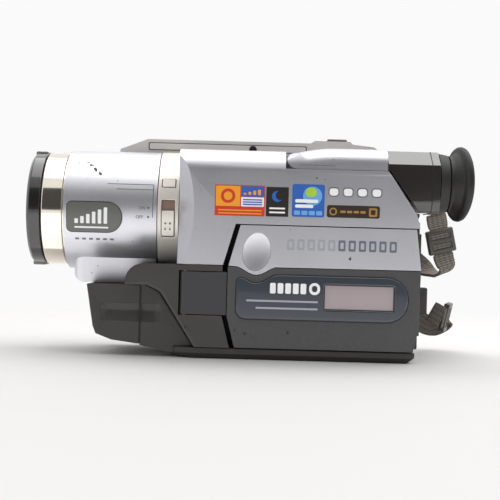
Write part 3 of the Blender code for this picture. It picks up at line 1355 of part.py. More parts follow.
def assemble():
    """Makes every piece, and hangs the moving ones on their joints' axes."""
    for make in (left_cabinet, lower_cabinet, lens_housing, switch_band, front_ring, lens_tube, ccd_block):
        make()
    glass_disc("front_lens", tube_front + 10 - 5.3, 2, 3, FILTER_RADIUS - GAP)
    for make in (front_panel, jack_board, base_plate, tripod_socket, top_cover, rear_panel, battery_terminal):
        make()
    front_slab("mic_grille", *MIC, 0.4, 1.4)
    front_slab("infrared_window", *SENSOR, 0.9, 1.4)
    for make in (deck_plate, main_board, lcd_hinge_pin, viewfinder_pin, lid_hinge_pin):
        make()
    axis = (0, 0, LENS_HEIGHT)
    cap = body("cap_body", (cap_front, 0, LENS_HEIGHT), lens_cap())
    for name, side in (("cap_tab_upper", 1), ("cap_tab_lower", -1)):
        seat = (cap_front + 3, 0, LENS_HEIGHT + side * RING_RADIUS)
        body(f"{name}_body", seat, cap_tab(name, side), parent=cap)
    body("zoom_group", axis, zoom_lens())
    body("band_switch_body", axis, band_switch())
    body("band_button_body", axis, band_button())
    body("jack_cover_body", (panel_front + 0.4, PANEL_NEAR_SIDE + 0.4, 0), jack_cover())
    door_pieces = (lcd_hinge_block, door_top_cover, door_lower_cover, window_plate, backlight_window)
    door_pieces = [make() for make in door_pieces + (lcd_bezel, lcd_screen)]
    door = body("screen_door", (hinge_x, hinge_y, HINGE_CENTRE), *door_pieces)
    body("open_button_body", (OVAL_X, NEAR_SIDE, OVAL_Z), open_button(), parent=door)
    finder_pieces = (viewfinder_cover, viewfinder_tube, eyecup_ring, eyepiece_lens, eyecup)
    body("viewfinder", (finder_pivot_x, eye_y, finder_pivot_z), *[make() for make in finder_pieces])
    body("zoom_lever_body", (LEVER_X, LEVER_Y, slab_top), zoom_lever())
    body("photo_button_body", (PHOTO_X, LEVER_Y, slab_top), photo_button())
    body("power_dial_body", (control_rear, DIAL_Y, DIAL_Z), power_dial())
    body("record_button_body", (control_rear, DIAL_Y, DIAL_Z), record_button())
    body("eject_body", (EJECT_X, BASE_FAR_SIDE - 7, 0), eject_slider())
    body("drum_body", (DRUM_X, deck_far, DRUM_Z), head_drum())
    body("capstan_body", (DRUM_X + 22, deck_far, DRUM_Z - 4), capstan_shaft())
    for name, side in (("supply_hub", -1), ("takeup_hub", 1)):
        body(f"{name}_body", (DRUM_X + side * HUB_SPACING / 2, deck_far, HUB_Z), reel_hub(name, side))
    strap_pieces = (strap_upper, strap_upper_tail, strap_lower, strap_lower_tail)
    lid_pieces = [make() for make in (cassette_lid, hand_strap) + strap_pieces]
    lid_pieces += [buckle("buckle_upper", BUCKLE_UPPER), buckle("buckle_lower", BUCKLE_LOWER)]
    body("lid", (0, lid_pin_y, lid_pin_z), *lid_pieces)


def smooth_round_faces():
    for item in bpy.data.collections["camcorder"].objects:
        if item.type == "MESH":
            item.data.shade_smooth()
            item.data.set_sharp_from_angle(angle=math.radians(30))


empty_scene()
assemble()
finishes()
smooth_round_faces()
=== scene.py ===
import json
import math

import bpy
from mathutils import Matrix, Vector


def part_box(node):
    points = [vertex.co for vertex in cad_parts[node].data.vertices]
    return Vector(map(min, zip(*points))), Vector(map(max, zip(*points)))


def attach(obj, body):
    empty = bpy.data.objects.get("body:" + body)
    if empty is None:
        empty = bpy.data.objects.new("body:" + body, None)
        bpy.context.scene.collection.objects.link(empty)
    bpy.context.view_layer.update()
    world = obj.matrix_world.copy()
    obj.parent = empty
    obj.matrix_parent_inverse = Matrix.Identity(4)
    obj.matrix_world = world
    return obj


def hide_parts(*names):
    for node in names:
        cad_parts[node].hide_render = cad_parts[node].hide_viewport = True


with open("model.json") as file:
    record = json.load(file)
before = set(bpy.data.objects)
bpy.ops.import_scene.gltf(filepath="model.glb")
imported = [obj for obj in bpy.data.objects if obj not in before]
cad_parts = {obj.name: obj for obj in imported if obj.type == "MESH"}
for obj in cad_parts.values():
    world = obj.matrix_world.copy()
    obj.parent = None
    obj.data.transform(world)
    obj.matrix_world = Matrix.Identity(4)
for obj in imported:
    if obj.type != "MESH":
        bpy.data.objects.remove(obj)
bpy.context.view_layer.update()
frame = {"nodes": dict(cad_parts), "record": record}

# Sizes and places of the pieces are in mm, angles in degrees, and tapers and shares are ratios
MM = 0.001
NEAR_SIDE = -36.0
FRONT_SIDE = -30.3
LENS_HEIGHT = 62.3
BARREL_RADIUS = 26.4
BARREL_BORE = 21.8
BARREL_ENDS = (-80.5, -40.4)
CHIN_BOX = ((-77.2, 30.2), (-41.0, 46.0))
CHIN_SIDE = 16.4
CHIN_TAPER = 0.87
CHIN_ROUND = 4.6
CHIN_FILLET = 1.6
RIDGE_HEIGHT = 30.2
RIDGE_ROUND = 1.35
SEAT_ROUND = 1.3
BASE_ROUND = 1.6
GROOVE_BOX = ((-62.9, 14.2), (-37.0, 22.3))
GROOVE_ENDS = (-60.2, -39.8)
GROOVE_DEEPEST = 19.2
GROOVE_SLOPE = 1.6
BUTTON_X = 2.8
BUTTON_HEIGHT = 45.5
BUTTON_LEAN = 9
WINDOW_RISE = 0.75
FAIRING_SEAT = 81
NOSE_END = 19.4
NOSE_LENGTH_SHARE = 0.92
NOSE_DROP_SHARE = 0.24
HINGE_HOLE = (19.2, 85.7, 2.8)
CUP_RUN = 6.3
PAD_SWELL = 1.1
PAD_OUTSIDE = 42
PAD_INSIDE_SEAMS = ((-16, 32.6), (68, 57.4))
WEBBING_WIDTH = 9.2
WEBBING_CROSSING = 9.6
THREADED = 15.6
INK = 0.1
CAPITAL_SHARE = 0.69
SMOOTH_ANGLE = 32
FLAT_ANGLE = 0.5
ROOT = "camcorder_body"
DOOR = "screen_door"
BODIES = frame["record"]["behaviour"]["bodies"]
body_of_node = {node: body for body, nodes in BODIES.items() for node in nodes}


# Colours and materials

# Sizes of patterns in mm. Real metal flake is finer: it is drawn as coarse as it needs to show.
FLAKE = 1 / 5.2
MOTTLE = 1 / 0.9
SPECK = 1 / 0.7
WORN_PATCH = 1 / 0.045
# Half the spacing of ribs and stitches, and of stripes as a share of the webbing's width
HALF_RIB = 0.6
HALF_STITCH = 1.3
HALF_STRIPE_SHARE = 0.125
BARREL_NICKS = [
    (-71.5, -16.8, 82.6, 2.6),
    (-69.8, -18.5, 81, 2.6),
    (-67.8, -20.2, 79.2, 2.4),
    (-66, -21.6, 77.4, 1.9),
    (-75.5, -17.5, 82, 1.3),
]
SIDE_NICKS = [
    (27, NEAR_SIDE, 77, 0.9),
    (30.7, NEAR_SIDE, 76.5, 1.0),
    (42, NEAR_SIDE, 43.4, 1.6),
    (69, NEAR_SIDE, 66.6, 0.8),
]
DOOR_SCUFFS = [(-5.5, NEAR_SIDE, 12, 1.3), (-1.3, NEAR_SIDE, 10.9, 1.7), (16.8, NEAR_SIDE, 11.8, 1.2)]


def srgb(code):
    """A colour from its sRGB hex code, as the linear values that the nodes take."""
    parts = [int(code[i : i + 2], 16) / 255 for i in (1, 3, 5)]
    return [c / 12.92 if c <= 0.04045 else ((c + 0.055) / 1.055) ** 2.4 for c in parts] + [1.0]


def add(tree, kind, settings=None, stops=(), **links):
    """Adds a node with options, values and colour stops, and links its inputs by name, or number as _0."""
    socket = lambda name: int(name[1:]) if name[1:].isdigit() else name.replace("_", " ")
    node = tree.nodes.new("ShaderNode" + kind)
    for name, value in (settings or {}).items():
        if hasattr(node, name):
            setattr(node, name, value)
        else:
            node.inputs[socket(name)].default_value = value
    for name, source in links.items():
        tree.links.new(source, node.inputs[socket(name)])
    if stops:
        points = node.color_ramp.elements
        while len(points) < len(stops):
            points.new(0.5)
        for point, (place, code) in zip(points, stops):
            point.position = place
            point.color = srgb(code)
    return node


def surface(name, code, roughness, metallic=0.0, grain=None, coat=0.0, wear=0.0):
    """A material with one Principled shader, with a grain (size and height in mm) and worn sheen if given."""
    material = bpy.data.materials.new(name)
    material.use_nodes = True
    tree = material.node_tree
    shader = tree.nodes["Principled BSDF"]
    values = {"Base Color": srgb(code), "Roughness": roughness, "Metallic": metallic, "Coat Weight": coat}
    for socket, value in values.items():
        shader.inputs[socket].default_value = value
    if grain:
        size, height = grain
        place = add(tree, "TexCoord").outputs["Object"]
        noise = add(tree, "TexNoise", {"Scale": 1 / (size * MM), "Detail": 2.0}, Vector=place)
        bump = add(tree, "Bump", {"Distance": height * MM, "Strength": 0.6}, Height=noise.outputs["Fac"])
        tree.links.new(bump.outputs["Normal"], shader.inputs["Normal"])
    if wear:
        place = add(tree, "TexCoord").outputs["Object"]
        patches = add(tree, "TexNoise", {"Scale": 1 / (WORN_PATCH * MM), "Detail": 5.0}, Vector=place)
        limits = {"To Min": roughness - wear, "To Max": roughness + wear}
        spread = add(tree, "MapRange", limits, Value=patches.outputs["Fac"])
        tree.links.new(spread.outputs["Result"], shader.inputs["Roughness"])
    return material


def colour_by(material, make_colour):
    """Links the colour that a function makes from the node tree to the material's base colour."""
    tree = material.node_tree
    tree.links.new(make_colour(tree), tree.nodes["Principled BSDF"].inputs["Base Color"])
    return material


def nicks(tree, colour, spots, dark="#3d3a39"):
    """Broken dark specks over a colour, mostly inside small round areas (x, y, z, radius in mm)."""
    place = add(tree, "TexCoord").outputs["Object"]
    specks = add(tree, "TexNoise", {"Scale": 1 / (SPECK * MM), "Detail": 4.0}, Vector=place).outputs["Fac"]
    for x, y, z, radius in spots:
        centre = (x * MM, y * MM, z * MM)
        away = add(tree, "VectorMath", {"operation": "DISTANCE", "_1": centre}, _0=place).outputs["Value"]
        limits = {"From Min": radius * MM, "From Max": 0.0, "To Max": 0.38}
        near = add(tree, "MapRange", limits, Value=away).outputs["Result"]
        both = add(tree, "Math", {"operation": "ADD"}, _0=near, _1=specks).outputs["Value"]
        spot = add(tree, "MapRange", {"From Min": 0.74, "From Max": 0.78}, Value=both).outputs["Result"]
        mix = add(tree, "Mix", {"data_type": "RGBA", "_7": srgb(dark)}, _0=spot, _6=colour)
        colour = mix.outputs[2]
    return colour


def lacquer_colour(tree):
    """Fine metal flake, with the nicks that the photo shows on the barrel, the cabinet and the door."""
    place = add(tree, "TexCoord").outputs["Object"]
    flake = add(tree, "TexNoise", {"Scale": 1 / (FLAKE * MM), "Detail": 1.0}, Vector=place).outputs["Fac"]
    silver = add(tree, "ValToRGB", stops=[(0.3, "#c8c8ce"), (0.7, "#d8d8de")], Fac=flake)
    return nicks(tree, silver.outputs["Color"], BARREL_NICKS + SIDE_NICKS)


def door_colour(tree):
    """Charcoal with the few scuffs that the photo shows on the door's lower cover."""
    place = add(tree, "TexCoord").outputs["Object"]
    mottle = add(tree, "TexNoise", {"Scale": 1 / (MOTTLE * MM), "Detail": 1.0}, Vector=place).outputs["Fac"]
    charcoal = add(tree, "ValToRGB", stops=[(0.3, "#424244"), (0.7, "#464648")], Fac=mottle)
    return nicks(tree, charcoal.outputs["Color"], DOOR_SCUFFS, "#242222")


def weave_colour(tree):
    """Browns in stripes along the webbing, crossed by fine ribs, which both raise its surface."""
    threads = add(tree, "UVMap", {"uv_map": "weave"}).outputs["UV"]
    parts = add(tree, "SeparateXYZ", Vector=threads).outputs
    lines = []
    for part, half, height in (("Y", HALF_STRIPE_SHARE, 0.3), ("X", HALF_RIB * MM, 0.7)):
        wave = add(tree, "Math", {"operation": "PINGPONG", "_1": half}, _0=parts[part]).outputs["Value"]
        line = add(tree, "MapRange", {"From Max": half, "To Max": height}, Value=wave)
        lines.append(line.outputs["Result"])
    both = add(tree, "Math", {"operation": "ADD"}, _0=lines[0], _1=lines[1]).outputs["Value"]
    bump = add(tree, "Bump", {"Distance": 0.25 * MM, "Strength": 0.8}, Height=both)
    tree.links.new(bump.outputs["Normal"], tree.nodes["Principled BSDF"].inputs["Normal"])
    browns = [(0.1, "#544e48"), (0.5, "#756e67"), (0.9, "#8f8981")]
    return add(tree, "ValToRGB", stops=browns, Fac=both).outputs["Color"]


def thread_colour(tree):
    """Pale stitches, about 2 mm long, with the dark cloth between them."""
    place = add(tree, "TexCoord").outputs["Object"]
    along = add(tree, "SeparateXYZ", Vector=place).outputs["X"]
    step = add(tree, "Math", {"operation": "PINGPONG", "_1": HALF_STITCH * MM}, _0=along).outputs["Value"]
    limits = {"From Min": 0.3 * MM, "From Max": 0.45 * MM}
    stitch = add(tree, "MapRange", limits, Value=step).outputs["Result"]
    return add(tree, "ValToRGB", stops=[(0, "#1f1d1c"), (1, "#8b867f")], Fac=stitch).outputs["Color"]


# Each material is named for what it is made of, and for any painted shade or light that it also gives. A
# group's comment says what that gives the eye.
MATERIALS = {
    # Lacquer and metal reflect the room: softly where it is flaked or brushed, sharply where it is chromed
    "silver": colour_by(surface("silver_lacquer", "#c0c1c9", 0.38, 0.85, wear=0.05), lacquer_colour),
    "cream": surface("cream_lacquer", "#e6e1d8", 0.3, 0.3, wear=0.05),
    "chrome": surface("champagne_chrome", "#eee6da", 0.1, 1.0, wear=0.02),
    "steel": surface("brushed_steel", "#b9b9b6", 0.3, 1.0, grain=(0.5, 0.004)),
    # Moulded plastic has a sheen that handling has made uneven, over a fine grain on the larger pieces
    "cabinet": surface("charcoal_plastic", "#383634", 0.5, grain=(0.25, 0.012), wear=0.08),
    "door": colour_by(
        surface("grey_charcoal_plastic", "#444446", 0.46, grain=(0.25, 0.012), wear=0.08), door_colour
    ),
    "hinge": surface("blue_charcoal_plastic", "#363639", 0.5, grain=(0.25, 0.012), wear=0.08),
    "finder": surface("black_brown_plastic", "#231f1d", 0.32, grain=(0.25, 0.008), coat=1.0, wear=0.05),
    "base": surface("brown_charcoal_plastic", "#2f2c2a", 0.5, grain=(0.25, 0.012), wear=0.08),
    "cap": surface("cap_plastic", "#1d1a18", 0.24, grain=(0.3, 0.008), coat=1.0, wear=0.05),
    # Painted light: the top cover's near side and inlay are a paler grey than the mid grey of its top, as if
    # lit
    "slab": surface("warm_grey_plastic", "#dcdbd6", 0.4, grain=(0.25, 0.01), wear=0.08),
    "slab_top": surface("top_grey_plastic", "#7d7b78", 0.5, grain=(0.25, 0.01), wear=0.08),
    "knob": surface("knob_plastic", "#77736f", 0.42, grain=(0.25, 0.01), wear=0.08),
    "pale": surface("pale_button_plastic", "#c9c7ba", 0.4, wear=0.05),
    "red": surface("red_button_plastic", "#b3261e", 0.4, wear=0.05),
    "buckle": surface("buckle_plastic", "#4b4640", 0.34, wear=0.06),
    "badge": surface("badge_plastic", "#656762", 0.34, wear=0.05),
    # Matt plastic and circuit board are dull and even. The matt black also paints the shade in seams,
    # recesses and a screw hole.
    "black": surface("matt_black_plastic", "#141313", 0.6, grain=(0.3, 0.01)),
    "slot": surface("slot_floor_plastic", "#8f7468", 0.5),
    "board": surface("green_circuit_board", "#1f5a34", 0.4, grain=(0.6, 0.02)),
    # Glass and acrylic have a clear coat that reflects, over a dark or tinted body
    "glass": surface("coated_lens_glass", "#20242c", 0.04, coat=1.0),
    "window": surface("smoked_acrylic", "#343b45", 0.16, coat=0.5),
    "diffuser": surface("pink_diffuser", "#a99c9f", 0.3, coat=0.3),
    "screen": surface("screen_glass", "#14151a", 0.08, coat=0.5),
    # Rubber and cloth are dull, with a coarser grain, a weave or stitches
    "rubber": surface("eyecup_rubber", "#151311", 0.55, grain=(0.4, 0.01), wear=0.08),
    "fabric": surface("strap_pad_fabric", "#2c2a29", 0.9, grain=(0.6, 0.15)),
    "thread": colour_by(surface("strap_thread", "#77736d", 0.8), thread_colour),
    "webbing": colour_by(surface("woven_webbing", "#6f6b67", 0.85), weave_colour),
    # Inks and label papers are flat and even, and the slate and gold ones have a little metal in them. The
    # grey ink also paints the shadow of the groove in the viewfinder's cover.
    "ink": surface("grey_print", "#6d7079", 0.55),
    "white_ink": surface("white_print", "#f2f2f2", 0.5),
    "slate": surface("slate_print", "#6a7280", 0.45, 0.2),
    "pale_slate": surface("pale_slate_print", "#a4a8b2", 0.45, 0.2),
    "orange": surface("orange_label_paper", "#f0a12c", 0.4),
    "scarlet": surface("red_label_paper", "#cf3a26", 0.4),
    "royal": surface("blue_label_paper", "#2d62b8", 0.4),
    "sky": surface("pale_blue_label_paper", "#6fa9e6", 0.4),
    "leaf": surface("green_label_paper", "#a8cf45", 0.4),
    "night": surface("black_label_paper", "#262321", 0.35),
    "cocoa": surface("brown_label_paper", "#33281f", 0.35),
    "gold": surface("gold_label_ink", "#b98d4f", 0.4, 0.4),
}

FINISH_OF = {
    "silver": "left_cabinet lens_housing door_top_cover viewfinder_cover open_button",
    "cabinet": "lower_cabinet front_panel jack_cover rear_panel cassette_lid infrared_window mic_grille",
    "door": "door_lower_cover lcd_bezel",
    "hinge": "lcd_hinge_block",
    "finder": "viewfinder_tube",
    "base": "base_plate eject_slider",
    "cap": "lens_cap",
    "slab": "top_cover",
    "knob": "zoom_lever cap_tab_upper cap_tab_lower",
    "cream": "switch_band band_switch band_button",
    "pale": "photo_button",
    "chrome": "front_ring",
    "steel": "deck_plate head_drum capstan_shaft lcd_hinge_pin viewfinder_pin lid_hinge_pin tripod_socket",
    "black": "supply_hub takeup_hub lens_tube ccd_block jack_board battery_terminal power_dial",
    "glass": "front_lens zoom_lens eyepiece_lens",
    "board": "main_board",
    "window": "window_plate",
    "diffuser": "backlight_window",
    "screen": "lcd_screen",
    "rubber": "eyecup eyecup_ring",
    "red": "record_button",
    "fabric": "hand_strap",
    "buckle": "buckle_upper buckle_lower",
    "webbing": "strap_upper strap_upper_tail strap_lower strap_lower_tail",
}
finish_of_node = {node: finish for finish, nodes in FINISH_OF.items() for node in nodes.split()}


def paint(item, finish):
    item.data.materials.clear()
    item.data.materials.append(MATERIALS[finish])
    return item


def tint(item, finish, chosen):
    """Gives a second material to the faces that a test on their middle (mm) and normal picks."""
    item.data.materials.append(MATERIALS[finish])
    for face in item.data.polygons:
        if chosen(face.center / MM, face.normal):
            face.material_index = len(item.data.materials) - 1
    return item


for node, item in frame["nodes"].items():
    paint(item, finish_of_node[node])


# Modelling helpers

def only(item):
    """Selects one object and makes it the active one."""
    bpy.ops.object.select_all(action="DESELECT")
    item.select_set(True)
    bpy.context.view_layer.objects.active = item
    return item


def open_edit(item):
    """Opens a piece for editing, with all of it selected."""
    only(item)
    bpy.ops.object.mode_set(mode="EDIT")
    bpy.ops.mesh.select_all(action="SELECT")


def close_edit():
    bpy.ops.object.mode_set(mode="OBJECT")


def apply_place():
    """Puts the place, turn and scale of the selected object into its mesh."""
    bpy.ops.object.transform_apply(location=True, rotation=True, scale=True)


def settle(item, body, finish, angle=SMOOTH_ANGLE):
    """Applies the place of a new piece, smooths its round faces, paints it and fixes it to a body."""
    only(item)
    apply_place()
    open_edit(item)
    bpy.ops.mesh.normals_make_consistent(inside=False)
    close_edit()
    bpy.ops.object.shade_smooth_by_angle(angle=math.radians(angle))
    paint(item, finish)
    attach(item, body)
    return item


def applied(item, kind, **settings):
    """Adds a modifier with its settings and applies it."""
    only(item)
    modifier = item.modifiers.new(kind.lower(), kind)
    for name, value in settings.items():
        setattr(modifier, name, value)
    bpy.ops.object.modifier_apply(modifier=modifier.name)
    return item


def eased(item, width, segments=2, angle=35):
    """Rounds the edges of a piece that are sharper than an angle."""
    only(item)
    bpy.ops.object.shade_smooth_by_angle(angle=math.radians(SMOOTH_ANGLE))
    settings = {"width": width * MM, "segments": segments, "angle_limit": math.radians(angle)}
    settings |= {"limit_method": "ANGLE", "harden_normals": True, "miter_outer": "MITER_ARC"}
    return applied(item, "BEVEL", **settings)


def rounded_along(item, share_of_edge, width, segments, **settings):
    """Rounds some edges of a piece, each by its own share of a width in mm."""
    weights = item.data.attributes.new("bevel_weight_edge", "FLOAT", "EDGE")
    for number, share in share_of_edge.items():
        weights.data[number].value = share
    return applied(item, "BEVEL", limit_method="WEIGHT", width=width * MM, segments=segments, **settings)


def duplicate(name, item):
    """A new object with its own copy of a piece's mesh."""
    copy = bpy.data.objects.new(name, item.data.copy())
    bpy.context.scene.collection.objects.link(copy)
    return copy


def copied(node, clean=True):
    """A merged copy of a CAD node that stands for it, with its flat faces made whole if it is cleaned."""
    item = only(duplicate(node + "_shell", frame["nodes"][node]))
    open_edit(item)
    bpy.ops.mesh.remove_doubles(threshold=1e-6)
    bpy.ops.mesh.customdata_custom_splitnormals_clear()
    if clean:
        bpy.ops.mesh.dissolve_limited(angle_limit=math.radians(FLAT_ANGLE))
    close_edit()
    paint(item, finish_of_node[node])
    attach(item, body_of_node[node])
    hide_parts(node)
    return item


def edges_where(item, chosen):
    """The numbers of the edges whose two ends (mm) both pass a test."""
    points = [vertex.co / MM for vertex in item.data.vertices]
    return [edge.index for edge in item.data.edges if all(chosen(points[i]) for i in edge.vertices)]


def edge_middle(item, number):
    first, second = item.data.edges[number].vertices
    return (item.data.vertices[first].co + item.data.vertices[second].co) / 2 / MM


def begin_select(item, kind):
    """Opens a piece for editing in one selection mode, with nothing selected, and closes it again."""
    only(item)
    bpy.ops.object.mode_set(mode="EDIT")
    bpy.ops.mesh.select_mode(type=kind)
    bpy.ops.mesh.select_all(action="DESELECT")
    close_edit()


def select_edges(item, numbers):
    begin_select(item, "EDGE")
    for number in numbers:
        item.data.edges[number].select = True
    bpy.ops.object.mode_set(mode="EDIT")


def select_points(item, chosen):
    begin_select(item, "VERT")
    for vertex in item.data.vertices:
        vertex.select = chosen(vertex.co / MM)
    bpy.ops.object.mode_set(mode="EDIT")


def select_faces(item, chosen):
    begin_select(item, "FACE")
    for face in item.data.polygons:
        face.select = chosen(face.center / MM, face.normal)
    bpy.ops.object.mode_set(mode="EDIT")


def shifted(item, chosen, shift):
    """Moves the points of a piece that a test picks, by a shift in mm."""
    select_points(item, chosen)
    bpy.ops.transform.translate(value=[part * MM for part in shift])
    close_edit()
    return item


def sliced(item, place, normal, **settings):
    """Cuts the faces of a piece along a plane through a place in mm."""
    open_edit(item)
    bpy.ops.mesh.bisect(plane_co=[part * MM for part in place], plane_no=normal, **settings)
    close_edit()
    return item


def bead(name, item, numbers, radius, body, finish):
    """A thin round line along some edges of a piece: painted shadow in a seam, or a row of stitches."""
    select_edges(duplicate(name, item), numbers)
    bpy.ops.mesh.select_all(action="INVERT")
    bpy.ops.mesh.delete(type="EDGE")
    close_edit()
    bpy.ops.object.convert(target="CURVE")
    line = bpy.context.active_object
    line.data.bevel_depth = radius * MM
    line.data.bevel_resolution = 2
    line.data.use_fill_caps = True
    bpy.ops.object.convert(target="MESH")
    return settle(bpy.context.active_object, body, finish)


def cut_line(name, item, place, normal, chosen, radius, body, finish):
    """A line round a piece, as painted seam shadow or as stitches, where a plane cuts it, kept where a test
    on the edge's middle allows.
    """
    copy = sliced(duplicate(name + "_path", item), place, normal)
    axis = Vector(normal)
    level = axis.dot(Vector(place))
    on_plane = edges_where(copy, lambda p: abs(axis.dot(p) - level) < 0.01)
    line = bead(name, copy, [i for i in on_plane if chosen(edge_middle(copy, i))], radius, body, finish)
    bpy.data.objects.remove(copy)
    return line


def plate(name, corners, face, depth, left_round=0.0, right_round=None):
    """A flat plate that faces the camera, between two (x, z) corners in mm, rounded and extruded forward."""
    (left, low), (right, high) = corners
    bpy.ops.object.select_all(action="DESELECT")
    centre = ((left + right) / 2 * MM, (face + depth) * MM, (low + high) / 2 * MM)
    bpy.ops.mesh.primitive_plane_add(size=1, location=centre, rotation=(math.radians(90), 0, 0))
    item = bpy.context.active_object
    item.name = name
    item.scale = ((right - left) * MM, (high - low) * MM, 1)
    apply_place()
    rounds = {left: left_round, right: left_round if right_round is None else right_round}
    for side, radius in rounds.items():
        if radius:
            select_points(item, lambda p: abs(p.x - side) < 1e-3)
            bpy.ops.mesh.bevel(offset=radius * MM, affect="VERTICES", segments=8)
            close_edit()
    open_edit(item)
    bpy.ops.mesh.extrude_region_move(TRANSFORM_OT_translate={"value": (0, -depth * MM, 0)})
    close_edit()
    return item


def joined(name, items):
    """Joins finished pieces into one object that keeps each one's material."""
    bpy.ops.object.select_all(action="DESELECT")
    for item in items:
        item.select_set(True)
    bpy.context.view_layer.objects.active = items[0]
    bpy.ops.object.join()
    items[0].name = name
    return items[0]


def carved(item, tool, operation="DIFFERENCE"):
    """Cuts a piece by a closed tool, adds the tool to it or keeps what they share, and removes the tool."""
    applied(item, "BOOLEAN", object=tool, operation=operation, solver="EXACT")
    bpy.data.objects.remove(tool)
    return item


def barrel_tool(radius, front=-110, rear=-10):
    """A round bar on the lens axis."""
    bpy.ops.object.select_all(action="DESELECT")
    size = {"vertices": 160, "radius": radius * MM, "depth": (rear - front) * MM}
    centre = ((front + rear) / 2 * MM, 0, LENS_HEIGHT * MM)
    bpy.ops.mesh.primitive_cylinder_add(**size, location=centre, rotation=(0, math.radians(90), 0))
    return bpy.context.active_object


def wrapped(name, corners, rise, finish, left_round=0.0, right_round=None, sunk=0.1, edge=0.0):
    """A plate bent round the barrel, standing proud of it by a rise, in mm."""
    item = plate(name, corners, -40, 25, left_round, right_round)
    carved(item, barrel_tool(BARREL_RADIUS + rise), "INTERSECT")
    carved(item, barrel_tool(BARREL_RADIUS - sunk))
    if edge:
        eased(item, edge)
    return settle(item, ROOT, finish)


def printed(name, text, left, low, height, face, body, finish):
    """Flat lettering that faces the camera, from its lower left corner, in mm."""
    bpy.ops.object.select_all(action="DESELECT")
    place = (left * MM, face * MM, low * MM)
    bpy.ops.object.text_add(location=place, rotation=(math.radians(90), 0, 0))
    item = bpy.context.active_object
    item.name = name
    item.data.body = text
    item.data.size = height / CAPITAL_SHARE * MM
    item.data.extrude = 0.15 * MM
    bpy.ops.object.convert(target="MESH")
    return settle(bpy.context.active_object, body, finish)


def label(name, corners, finish, layer=1, corner=0.3, body=ROOT, face=NEAR_SIDE):
    """One thin printed layer of a label on a flat side."""
    item = plate(name, corners, face - INK * layer, INK * layer + INK / 2, corner)
    return settle(item, body, finish)


# Cabinet, barrel and door, from the solids, with eased edges, and black lines and recesses as painted shade
# in the seams

def silver_cabinet():
    """The upper shell, whose door recess walls are painted matt black as shade, so that the seam round the
    door reads as a dark line.
    """
    shell = copied("left_cabinet")
    at_seat = edges_where(shell, lambda p: abs(p.y - NEAR_SIDE) < 0.05 and p.x > 14 and p.z > 58.5)
    rounded_along(shell, {number: 1.0 for number in at_seat}, SEAT_ROUND, 4)
    eased(shell, 0.7)
    # Painted shade: the walls inside the door recess are made matt black, so the gap round the door reads
    # dark
    tint(shell, "black", lambda p, n: p.x > -21 and p.z < 58 and -35.3 < p.y < -20)


def dark_cabinet():
    """The lower shell, with a wide soft fillet along its diagonal ridge that thins out under the arch, and
    with its pockets behind the hinge and door painted black as shade.
    """
    shell = grip_groove(without_groove(copied("lower_cabinet"), -46.2, -36))

    def below_arch(p, side):
        return abs(p.y - side) < 0.05 and p.x < -21 and p.z < RIDGE_HEIGHT + 0.2

    def at_foot(p):
        return below_arch(p, FRONT_SIDE) and p.x > -44 and (p.x > -36 or p.z > 23)

    def at_ridge(p):
        return below_arch(p, NEAR_SIDE)

    def in_pocket(p, n):
        behind_hinge = p.x > -29.6 and 18 < p.z < 37.2
        return (behind_hinge or p.x > -12.8) and p.z < 39.2 and -35.4 < p.y < -20

    # Painted shadow: a black line along the foot of the ridge stands for the shade in its seam
    seam = bead("ridge_seam", shell, edges_where(shell, at_foot), 0.42, ROOT, "black")
    shifted(seam, lambda p: True, (-0.9, -0.15, -0.3))
    # Painted shadow: a black strip stands for the shade in the seam between the jack cover and the cabinet
    strip = plate("cover_seam", ((-46.1, 5.4), (-45.5, 29.6)), FRONT_SIDE - 0.1, 0.5)
    settle(strip, ROOT, "black")
    ridge = edges_where(shell, at_ridge)
    select_edges(shell, [i for i in ridge if abs(edge_middle(shell, i).z - RIDGE_HEIGHT) < 0.1])
    bpy.ops.mesh.subdivide(number_cuts=5)
    close_edit()
    shares = {i: (edge_middle(shell, i).x + 52.2) / 8 for i in edges_where(shell, at_ridge)}
    shares = {i: min(1.0, max(0.12, share)) for i, share in shares.items()}
    rounded_along(shell, shares, RIDGE_ROUND, 6, use_clamp_overlap=False)
    eased(shell, 0.5)
    # Painted shade: the pocket walls behind the hinge block and the door are made matt black
    tint(shell, "black", in_pocket)


def without_groove(item, left, right):
    """Closes the flat-bottomed finger groove of a copied solid, where a softer one takes its place."""
    depths = (FRONT_SIDE + 0.02, FRONT_SIDE + 2)
    in_groove = lambda p, n: left < p.x < right and 14 < p.z < 22.5 and depths[0] < p.y < depths[1]
    select_faces(item, in_groove)
    bpy.ops.mesh.delete(type="FACE")
    bpy.ops.mesh.select_all(action="SELECT")
    bpy.ops.mesh.select_mode(type="EDGE")
    bpy.ops.mesh.select_non_manifold(extend=False)
    bpy.ops.mesh.edge_face_add()
    bpy.ops.mesh.select_all(action="SELECT")
    bpy.ops.mesh.dissolve_limited(angle_limit=math.radians(FLAT_ANGLE))
    close_edit()
    return item


def grip_groove(item):
    """Cuts the fingertip groove: a short slope that faces down, over a longer one that faces up."""
    tool = plate("groove_tool", GROOVE_BOX, FRONT_SIDE - 1.2, 2.9, 2.2)
    sliced(tool, (0, 0, GROOVE_DEEPEST), (0, 0, 1))
    for end in GROOVE_ENDS:
        sliced(tool, (end, 0, 0), (1, 0, 0))
    left, right = GROOVE_ENDS

    def above_floor(p):
        deepest = abs(p.z - GROOVE_DEEPEST) <= 0.6 and left - 0.3 < p.x < right + 0.3
        return p.y > FRONT_SIDE + 1.3 and not deepest

    shifted(tool, above_floor, (0, -GROOVE_SLOPE, 0))
    return carved(item, eased(tool, 0.7, 4, 12))


